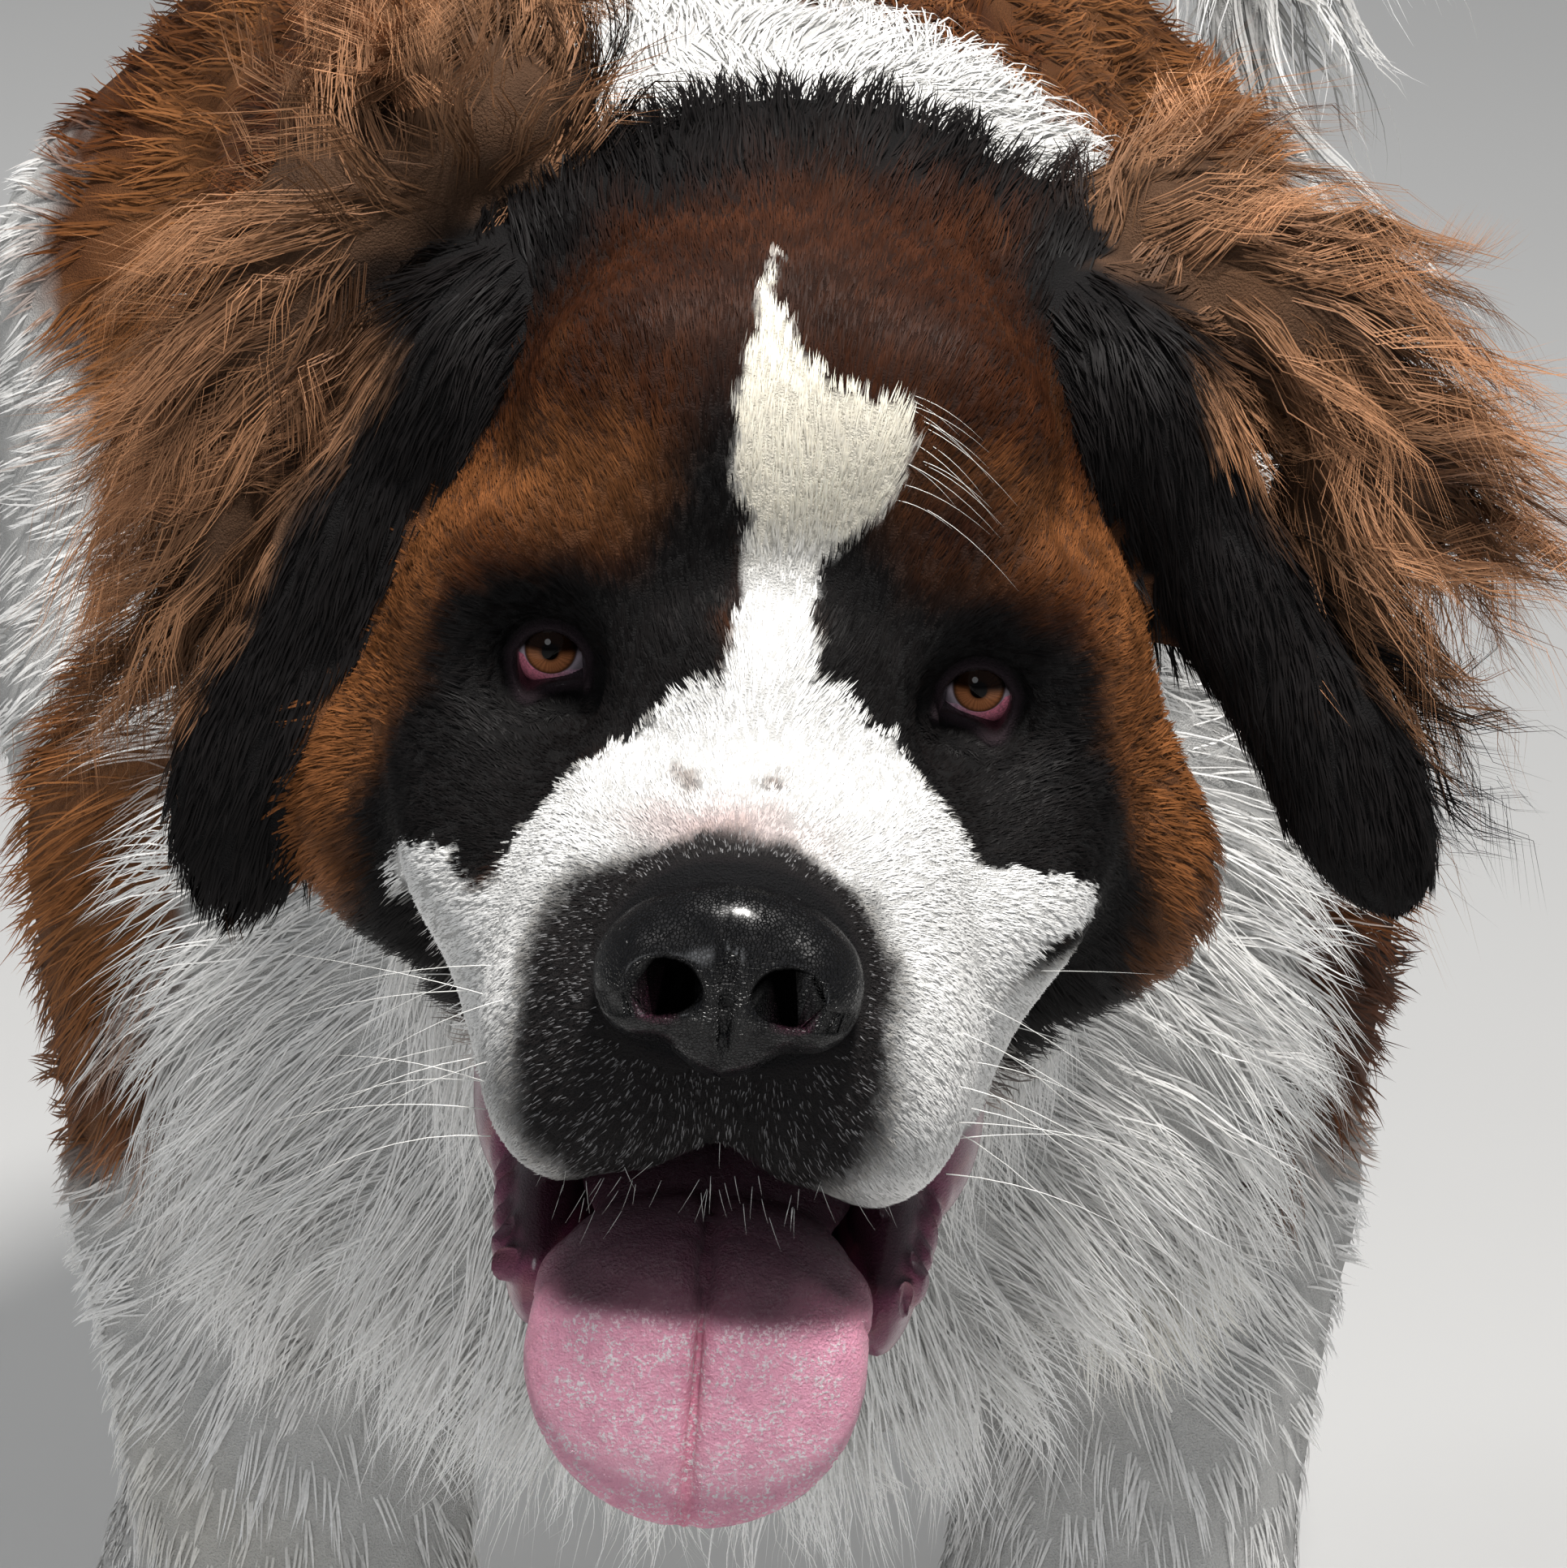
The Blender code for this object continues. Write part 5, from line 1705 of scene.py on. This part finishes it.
def build_skin():
    obj = build_skin_mesh()
    mesh = obj.data
    points = vertex_places(mesh)
    # Paws stand on small flats at floor level.
    points[:, 2] = np.maximum(points[:, 2], 0.0)
    set_vertex_places(mesh, points)
    normals = vertex_normals(mesh)
    _, fur, region = MODEL["clay"].sample(points, len(FUR))
    bare, wet, bare_colours = bare_places(points, normals, MODEL["opening"], fur)
    trim_hair(fur, seen_from(HEAD_FRAME, points), MODEL["opening"], region)
    colours, _ = coat_colours(points, region)
    # Painted shade: the skin under the hair is painted darker, and darkest between the curly locks
    # of the head and ears.
    under = 0.72 - 0.5 * ease(0.15, 0.6, fur[:, 4]) * (region < TRUNK)
    colours = blended(colours * under[:, None], bare_colours, np.clip(bare, 0, 1))
    paint(mesh, "tint", colours)
    paint(mesh, "wet", wet)
    corners, loops = skin_triangles(mesh)
    places = points[corners]
    cross = np.cross(places[:, 1] - places[:, 0], places[:, 2] - places[:, 0])
    flat = unwrap(places, cross, region[corners[:, 0]])
    by_loop = np.zeros((len(mesh.loops), 2), np.float32)
    by_loop[loops.ravel()] = flat.reshape(-1, 2)
    set_map(mesh, by_loop)
    mean = fur[corners].mean(axis=1)
    MODEL["skin_data"] = {
        "corners": places, "corner_normals": normals[corners], "corner_fur": fur[corners],
        "corner_map": flat, "area": np.linalg.norm(cross, axis=1) / 2 / CM**2,
        "region": region[corners[:, 0]], "length": mean[:, 1] * CM, "width": mean[:, 2] * CM,
        "cover": mean[:, 5] * CM * CM, "bare": np.clip(bare[corners].max(axis=1) * 1.6, 0, 1),
    }
    dressed(obj, skin_material())
    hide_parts(*FLESH_NODES)


def build_coat():
    material = hair_material()
    for obj in coat_pieces(1.0):
        dressed(obj, material)


PUPIL_BLACK = (0.002, 0.0015, 0.0015)
# How proud the cornea stands of the eyeball, in metres.
CORNEA = 0.0009


def ball_mesh(name, side):
    """An eyeball with its cornea, its axis forward, painted in rings."""
    bm = bmesh.new()
    bmesh.ops.create_uvsphere(bm, u_segments=128, v_segments=96, radius=1.0)
    mesh = bpy.data.meshes.new(name)
    bm.to_mesh(mesh)
    bm.free()
    # The poles point forward and back.
    ball = vertex_places(mesh)[:, [0, 2, 1]]
    out = np.hypot(ball[:, 0], ball[:, 2]) * EYE_RADIUS * CM
    in_front = ball[:, 1] > 0
    iris, pupil = sizes().iris_radius, sizes().pupil_radius
    local = ball * EYE_RADIUS * CM
    local[:, 1] += CORNEA * np.sqrt(np.clip(1 - (out / (iris * 1.05)) ** 2, 0, 1)) * in_front
    head = local / CM + (SIDES[side] * EYE_ACROSS, -EYE_RADIUS, 0)
    set_vertex_places(mesh, places_from(HEAD_FRAME, head))
    mesh.flip_normals()
    angle = np.arctan2(ball[:, 2], ball[:, 0])
    rays = 0.5 + 0.25 * np.sin(angle * 37 + 3 * np.sin(angle * 5))
    rays = rays + 0.25 * np.sin(angle * 61 + out * 9000)
    colours = all_over(ball, "sclera")
    colours = blended(colours, tone("sclera") * 0.45, ease(0.0062, 0.0085, out))
    amber = blended(all_over(ball, "iris", 1.5), tone("iris") * 0.55, rays)
    amber = blended(amber, tone("iris") * 0.16, ease(iris * 0.78, iris, out))
    amber = blended(amber, tone("iris") * 0.5, ease(pupil * 1.5, pupil, out))
    colours = blended(colours, amber, ease(iris * 1.06, iris * 0.97, out) * in_front)
    # The lid's shadow lies on the upper half.
    colours = blended(colours, colours * 0.03, ease(-0.0018, 0.0010, local[:, 2]) * in_front)
    in_pupil = ease(pupil * 1.12, pupil * 0.92, out) * in_front
    paint(mesh, "tint", blended(colours, np.array(PUPIL_BLACK), in_pupil))
    smooth(mesh)
    return link(name, mesh)


def haw_mesh(name, side):
    """The wet pink inner lid, a crescent along the lower lid that thins to nothing on the ball."""
    sign = SIDES[side]
    lower = curve_through(LOWER_LID, 60)
    rows = 14
    grid, tints = [], []
    pale = tone("sclera") * 0.4 + tone("haw") * 0.35 + np.array((0.14, 0.14, 0.20))
    for out, up in lower:
        top = max(up + 0.04, -0.36 + 0.24 * out)
        for row in range(rows):
            share = row / (rows - 1)
            height = up - 0.14 + (top - up + 0.14) * share
            proud = 1.212 + 0.020 * math.sin(math.pi * share) - 0.010 * share
            depth = math.sqrt(max(proud**2 - out**2 - height**2, 0.01))
            grid.append((sign * (EYE_ACROSS + out), -EYE_RADIUS + depth, height))
            inner = min(max(0.35 - out + 0.5 * (share - 0.6), 0), 1)
            tints.append(tone("haw") * (1 - inner) + pale * inner)
    faces = []
    for index in range(len(lower) - 1):
        for first in range(index * rows, (index + 1) * rows - 1):
            loop = (first, first + 1, first + rows + 1, first + rows)
            faces.append(loop if sign > 0 else loop[::-1])
    mesh = bpy.data.meshes.new(name)
    places = places_from(HEAD_FRAME, np.array(grid))
    mesh.from_pydata([tuple(place) for place in places], [], faces)
    paint(mesh, "tint", np.array(tints))
    smooth(mesh)
    return link(name, mesh)


def build_eyes():
    ball_look, haw_look = eye_material(), haw_material()
    for side in SIDES:
        ball = dressed(ball_mesh("eyeball_" + side, side), ball_look)
        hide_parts("eye_" + side)
        dressed(haw_mesh("haw_" + side, side), haw_look)


# The middle of a nostril, outward and up from between the eyes, and its reach.
NOSTRIL = (1.45, -4.05)
NOSTRIL_REACH = (0.80, 0.70)


def lay_nose(clay):
    clay.mass((0, 11.1, -3.9), (6.0, 3.3, 4.1), blend=0.8, fur=LIP)
    clay.pair((2.0, 11.6, -4.3), (2.4, 2.6, 2.8), blend=0.7, fur=LIP)
    clay.mass((0, 11.4, -5.4), (2.3, 2.1, 2.4), blend=0.9, fur=LIP)
    # Nostrils with their side slits, and the furrow between them.
    clay.pair((NOSTRIL[0], 13.0, NOSTRIL[1]), (1.7, 2.9, 1.15), splay=-14, blend=0.3, carve=True)
    clay.pair((2.35, 12.7, -4.55), (1.7, 2.2, 0.42), splay=14, blend=0.25, carve=True)
    clay.mass((0, 13.1, -5.3), (0.22, 1.6, 4.4), blend=0.3, carve=True)


def modelled(name, lay, step, passes):
    """A small part of the head modelled in the same way as the skin."""
    clay = Clay(HEAD_FRAME)
    lay(clay)
    obj = fused(name, clay, step)
    mesh = obj.data
    set_vertex_places(mesh, clay.settle(vertex_places(mesh), passes, 0.003))
    smooth(mesh)
    return obj


def build_nose():
    obj = modelled("nose_leather", lay_nose, sizes().nose_step, 9)
    dressed(obj, nose_material())
    head = seen_from(HEAD_FRAME, vertex_places(obj.data))
    outward, upward = np.abs(head[:, 0]) - NOSTRIL[0], head[:, 2] - NOSTRIL[1]
    hole = np.hypot(outward / NOSTRIL_REACH[0], upward / NOSTRIL_REACH[1])
    # Painted shade: inside the nostrils the leather is painted near black.
    painted_nostril_shade = ease(1.12, 1.0, hole) * (head[:, 1] > 11.0)
    colours = blended(all_over(head, "nose"), tone("nose") * 0.05, painted_nostril_shade)
    # The nostril's lower edge shows a little dark pink.
    edge = ease(1.0, 1.1, hole) * ease(1.4, 1.25, hole) * ease(-0.30, -0.45, upward)
    colours = blended(colours, tone("lip") * 0.22, edge * ease(1.0, 1.4, np.abs(head[:, 0])))
    paint(obj.data, "tint", colours)
    paint(obj.data, "painted_nostril_shade", painted_nostril_shade)
    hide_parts("nose")


def lay_tongue(clay):
    """Broad tongue that lies on the jaw and falls over its front, with a furrow down its middle."""
    clay.mass((0, 3.2, -11.7), (7.0, 12.0, 1.8), lean=6, blend=1, fur=LIP)
    clay.mass((0, 8.9, -12.9), (8.0, 3.8, 2.8), lean=38, blend=1.6, fur=LIP)
    clay.mass((-0.1, 10.3, -14.4), (8.2, 1.7, 5.6), lean=-9, blend=1.4, fur=LIP)
    clay.mass((0.0, 10.6, -15.7), (6.6, 1.6, 5.4), lean=-9, blend=1.6, fur=LIP)
    clay.mass((0.0, 11.55, -14.8), (0.14, 1.0, 6.2), lean=-9, blend=0.5, carve=True)
    clay.mass((0.0, 4.5, -10.6), (0.2, 12.0, 0.9), lean=8, blend=0.5, carve=True)


def build_mouth():
    obj = modelled("tongue", lay_tongue, sizes().tongue_step, 3)
    mesh = obj.data
    head = seen_from(HEAD_FRAME, vertex_places(mesh))
    # Painted shadow: the tongue is painted dark inside the mouth and across its upper part, where
    # the muzzle shades it.
    painted_mouth_shadow = np.maximum(ease(9.8, 7.0, head[:, 1]), ease(-13.4, -12.7, head[:, 2]) * 0.95)
    colours = blended(all_over(head, "tongue"), tone("lip") * 0.32, painted_mouth_shadow * 0.95)
    edge = ease(3.2, 4.3, np.abs(head[:, 0])) + ease(-17.0, -18.4, head[:, 2])
    colours = blended(colours, tone("tongue") * (1.0, 0.84, 0.88), np.clip(edge, 0, 1) * 0.6)
    furrow = np.exp(-((head[:, 0] / 0.22) ** 2)) * (head[:, 1] > 9)
    colours = blended(colours, tone("tongue") * (0.9, 0.62, 0.68), furrow * (1 - painted_mouth_shadow) * 0.7)
    paint(mesh, "tint", colours)
    paint(mesh, "wet", (1 - painted_mouth_shadow) * ease(4.0, 3.3, np.abs(head[:, 0])))
    dressed(obj, tongue_material())
    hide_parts("tongue")


def tube(places, radii, sides):
    """Vertices and faces of a closed tapering tube."""
    places = np.array(places)
    tangents = unit(np.gradient(places, axis=0))
    aside = unit(np.cross(tangents, (0.31, 0.17, 0.93)))
    over = np.cross(tangents, aside)
    verts = []
    for place, across, up, radius in zip(places, aside, over, radii):
        for index in range(sides):
            turn = 2 * math.pi * index / sides
            verts.append(place + radius * (math.cos(turn) * across + math.sin(turn) * up))
    faces = []
    for ring in range(len(places) - 1):
        for index in range(sides):
            following = (index + 1) % sides
            low, high = ring * sides, (ring + 1) * sides
            faces.append((low + index, low + following, high + following, high + index))
    faces.append(tuple(range(sides))[::-1])
    faces.append(tuple(range((len(places) - 1) * sides, len(places) * sides)))
    return verts, faces


def joined(name, tubes):
    verts, faces = [], []
    for some_verts, some_faces in tubes:
        faces += [tuple(index + len(verts) for index in face) for face in some_faces]
        verts += [tuple(vert) for vert in some_verts]
    mesh = bpy.data.meshes.new(name)
    mesh.from_pydata(verts, [], faces)
    smooth(mesh)
    return link(name, mesh)


def thinning(width, thinned, count):
    """Radii from a hair's root to its tip."""
    return width / 2 * (1 - np.linspace(0, thinned, count))


def flew_whiskers(rng):
    """Long white whiskers in rows on the flews, and a few on the cheeks."""
    roots = [
        (4.7 + 0.25 * row, 8.2 - 1.9 * place, -6.1 - 1.2 * row, 1.0)
        for row in range(4) for place in range(3)
    ]
    for side in SIDES.values():
        for across, forward, up, share in roots + [(6.0, 0.5, -8.4, 0.9), (6.5, -0.5, -7.0, 0.8)]:
            start = np.array((side * across, forward, up)) + rng.normal(size=3) * 0.15
            way = np.array((
                side * 1.0, 0.25 - 0.1 * (8 - forward) + 0.15 * rng.normal(),
                -0.1 + 0.22 * rng.normal(),
            ))
            way /= np.linalg.norm(way)
            reach = sizes().whisker_length / CM * share * rng.uniform(0.55, 1.0)
            fall = np.array((0, -0.25, -rng.uniform(0.15, 0.6)))
            path = [
                tuple(spot(HEAD_FRAME, *(start + reach * (way * t + fall * t * t))))
                for t in np.linspace(0, 1, 9)
            ]
            yield tube(path, thinning(sizes().whisker_width, 0.9, 9), 5)


def lip_bristles(rng):
    """Short bristles along the edge of the upper lip."""
    for _ in range(44):
        across = rng.uniform(-4.2, 4.2)
        low = -9.6 - 0.09 * abs(across) + 0.5 * rng.normal()
        start = np.array((across, 10.9 - 0.09 * across**2, low))
        reach = rng.uniform(0.45, 1.0)
        way = np.array((0.10 * across + 0.25 * rng.normal(), 0.35, -0.95))
        path = [
            tuple(spot(HEAD_FRAME, *(start + reach * (way * t + (0, -0.35 * t * t, 0)))))
            for t in np.linspace(0, 1, 6)
        ]
        yield tube(path, thinning(sizes().whisker_width * 0.4, 0.85, 6), 4)


def brow_wisps(rng):
    """A few pale wisps that stray from the blaze over the left brow."""
    strays = np.array([
        spot(HEAD_FRAME, rng.uniform(2.8, 3.6), 0.5, rng.uniform(4.8, 7.6)) for _ in range(16)
    ])
    for start in MODEL["clay"].settle(strays, 6, 0.01):
        reach = rng.uniform(1.2, 2.6) * CM
        way = ways_from(HEAD_FRAME, np.array([[1.0, 0.22, rng.uniform(-0.5, 0.1)]]))[0]
        path = [
            tuple(start + reach * (way * t + (0, 0, -0.35 * t * t))) for t in np.linspace(0, 1, 7)
        ]
        yield tube(path, thinning(sizes().whisker_width * 0.6, 0.9, 7), 4)


def build_whiskers():
    rng = np.random.default_rng(3)
    tubes = [*flew_whiskers(rng), *lip_bristles(rng), *brow_wisps(rng)]
    dressed(joined("whiskers", tubes), whisker_material())


def build_claws():
    """A blunt curved claw on each toe."""
    tubes = []
    for _, _, toes in toe_places():
        for across, forward in toes:
            path, radii = [], []
            for t in np.linspace(0, 1, 8):
                place = (across, forward + 2.0 + 1.7 * t, 3.0 - 0.3 * t - 1.5 * t * t)
                path.append(tuple(spot(FLOOR_FRAME, *place)))
                radii.append((0.47 * (1 - t) ** 0.55 + 0.09) * CM)
            tubes.append(tube(path, radii, 14))
    dressed(joined("claws", tubes), claw_material())


# The lights: name, place, aim, size, power, colour, and whether wet things mirror it.
LIGHTS = (
    ("key", (0.35, -1.15, 3.4), (0, -0.40, 0.6), 0.5, 150, (1.0, 0.975, 0.94), True),
    ("rim", (-0.6, 1.4, 2.9), (0, 0.0, 0.6), 1.2, 34, (1.0, 0.98, 0.95), False),
    ("fill", (-0.9, -3.6, 1.5), (0, -0.6, 0.7), 1.0, 15, (0.95, 0.97, 1.0), True),
)
SKY = {"Color": (0.88, 0.94, 1.0, 1.0), "Strength": 0.19}
FLOOR_REACH = 12.0


def area_light(name, place, aim, size, power, tint, mirrored):
    lamp = bpy.data.lights.new(name, "AREA")
    lamp.shape = "DISK"
    lamp.size = size
    lamp.energy = power
    lamp.color = tint
    obj = link(name, lamp)
    obj.location = place
    obj.rotation_euler = (Vector(aim) - Vector(place)).to_track_quat("-Z", "Y").to_euler()
    obj.visible_glossy = mirrored


# Where the middle of the picture lies from the point between the eyes, as the photo frames it,
# and how much of the dog at the eyes' distance the picture's width takes in. Metres.
AIM_RIGHT = 0.0047
AIM_DOWN = 0.0280
PICTURE_WIDTH = 0.3862
SENSOR = 36.0


def build_camera():
    azimuth = math.radians(sizes().view_azimuth)
    elevation = math.radians(sizes().view_elevation)
    back = Vector((
        math.sin(azimuth) * math.cos(elevation), -math.cos(azimuth) * math.cos(elevation),
        math.sin(elevation),
    ))
    right = Vector((math.cos(azimuth), math.sin(azimuth), 0))
    up = back.cross(right)
    aim = HEAD_FRAME.translation + right * AIM_RIGHT - up * AIM_DOWN
    lens = bpy.data.cameras.new("camera")
    lens.sensor_width = SENSOR
    lens.lens = SENSOR * sizes().view_distance / PICTURE_WIDTH
    lens.clip_start = 0.05
    obj = link("camera", lens)
    turn = Matrix((right, up, back)).transposed().to_4x4()
    obj.matrix_world = Matrix.Translation(aim + back * sizes().view_distance) @ turn
    bpy.context.scene.camera = obj


def build_stage():
    mesh = bpy.data.meshes.new("floor")
    square = ((-1, -1), (1, -1), (1, 1), (-1, 1))
    corners = [(x * FLOOR_REACH, y * FLOOR_REACH, 0) for x, y in square]
    mesh.from_pydata(corners, [], [(0, 1, 2, 3)])
    mesh.materials.append(floor_material())
    link("floor", mesh)
    world = bpy.data.worlds.new("studio")
    world.use_nodes = True
    for socket, value in SKY.items():
        world.node_tree.nodes["Background"].inputs[socket].default_value = value
    bpy.context.scene.world = world
    bpy.context.scene.view_settings.view_transform = "Standard"
    for light in LIGHTS:
        area_light(*light)
    build_camera()


# The add-on.

class SAINT_BERNARD_OT_stage(bpy.types.Operator):
    """Set the studio floor, its lights and the camera"""

    bl_idname = "saint_bernard.stage"
    bl_label = "Floor, lights and camera"

    def execute(self, context):
        build_stage()
        return {"FINISHED"}


class SAINT_BERNARD_OT_skin(bpy.types.Operator):
    """Model one skin over head, body, ears, legs and tail"""

    bl_idname = "saint_bernard.skin"
    bl_label = "Skin"

    def execute(self, context):
        build_skin()
        return {"FINISHED"}


class SAINT_BERNARD_OT_coat(bpy.types.Operator):
    """Lay the hair over the skin in tufts"""

    bl_idname = "saint_bernard.coat"
    bl_label = "Coat"

    def execute(self, context):
        build_coat()
        return {"FINISHED"}


class SAINT_BERNARD_OT_eyes(bpy.types.Operator):
    """Make the eyeballs and inner lids"""

    bl_idname = "saint_bernard.eyes"
    bl_label = "Eyes"

    def execute(self, context):
        build_eyes()
        return {"FINISHED"}


class SAINT_BERNARD_OT_nose(bpy.types.Operator):
    """Model the nose leather"""

    bl_idname = "saint_bernard.nose"
    bl_label = "Nose"

    def execute(self, context):
        build_nose()
        return {"FINISHED"}


class SAINT_BERNARD_OT_mouth(bpy.types.Operator):
    """Model the tongue"""

    bl_idname = "saint_bernard.mouth"
    bl_label = "Tongue"

    def execute(self, context):
        build_mouth()
        return {"FINISHED"}


class SAINT_BERNARD_OT_whiskers(bpy.types.Operator):
    """Add the whiskers"""

    bl_idname = "saint_bernard.whiskers"
    bl_label = "Whiskers"

    def execute(self, context):
        build_whiskers()
        return {"FINISHED"}


class SAINT_BERNARD_OT_claws(bpy.types.Operator):
    """Add a claw to each toe"""

    bl_idname = "saint_bernard.claws"
    bl_label = "Claws"

    def execute(self, context):
        build_claws()
        return {"FINISHED"}


OPERATORS = (
    SAINT_BERNARD_OT_stage,
    SAINT_BERNARD_OT_skin,
    SAINT_BERNARD_OT_coat,
    SAINT_BERNARD_OT_eyes,
    SAINT_BERNARD_OT_nose,
    SAINT_BERNARD_OT_mouth,
    SAINT_BERNARD_OT_whiskers,
    SAINT_BERNARD_OT_claws,
)


class SAINT_BERNARD_PT_panel(bpy.types.Panel):
    """The steps of the build in order"""

    bl_label = "Saint Bernard"
    bl_idname = "SAINT_BERNARD_PT_panel"
    bl_space_type = "VIEW_3D"
    bl_region_type = "UI"
    bl_category = "Saint Bernard"

    def draw(self, context):
        for made in OPERATORS:
            self.layout.operator(made.bl_idname)


CLASSES = (SaintBernardSizes, SaintBernardColours, *OPERATORS, SAINT_BERNARD_PT_panel)


def register():
    for made in CLASSES:
        bpy.utils.register_class(made)
    bpy.types.Scene.saint_bernard_sizes = bpy.props.PointerProperty(type=SaintBernardSizes)
    bpy.types.Scene.saint_bernard_colours = bpy.props.PointerProperty(type=SaintBernardColours)


def unregister():
    del bpy.types.Scene.saint_bernard_sizes
    del bpy.types.Scene.saint_bernard_colours
    for made in reversed(CLASSES):
        bpy.utils.unregister_class(made)


def main():
    register()
    for made in OPERATORS:
        step = made.bl_idname.split(".")[1]
        if getattr(bpy.ops.saint_bernard, step)() != {"FINISHED"}:
            raise RuntimeError("the step " + step + " did not finish")


if __name__ == "__main__":
    main()
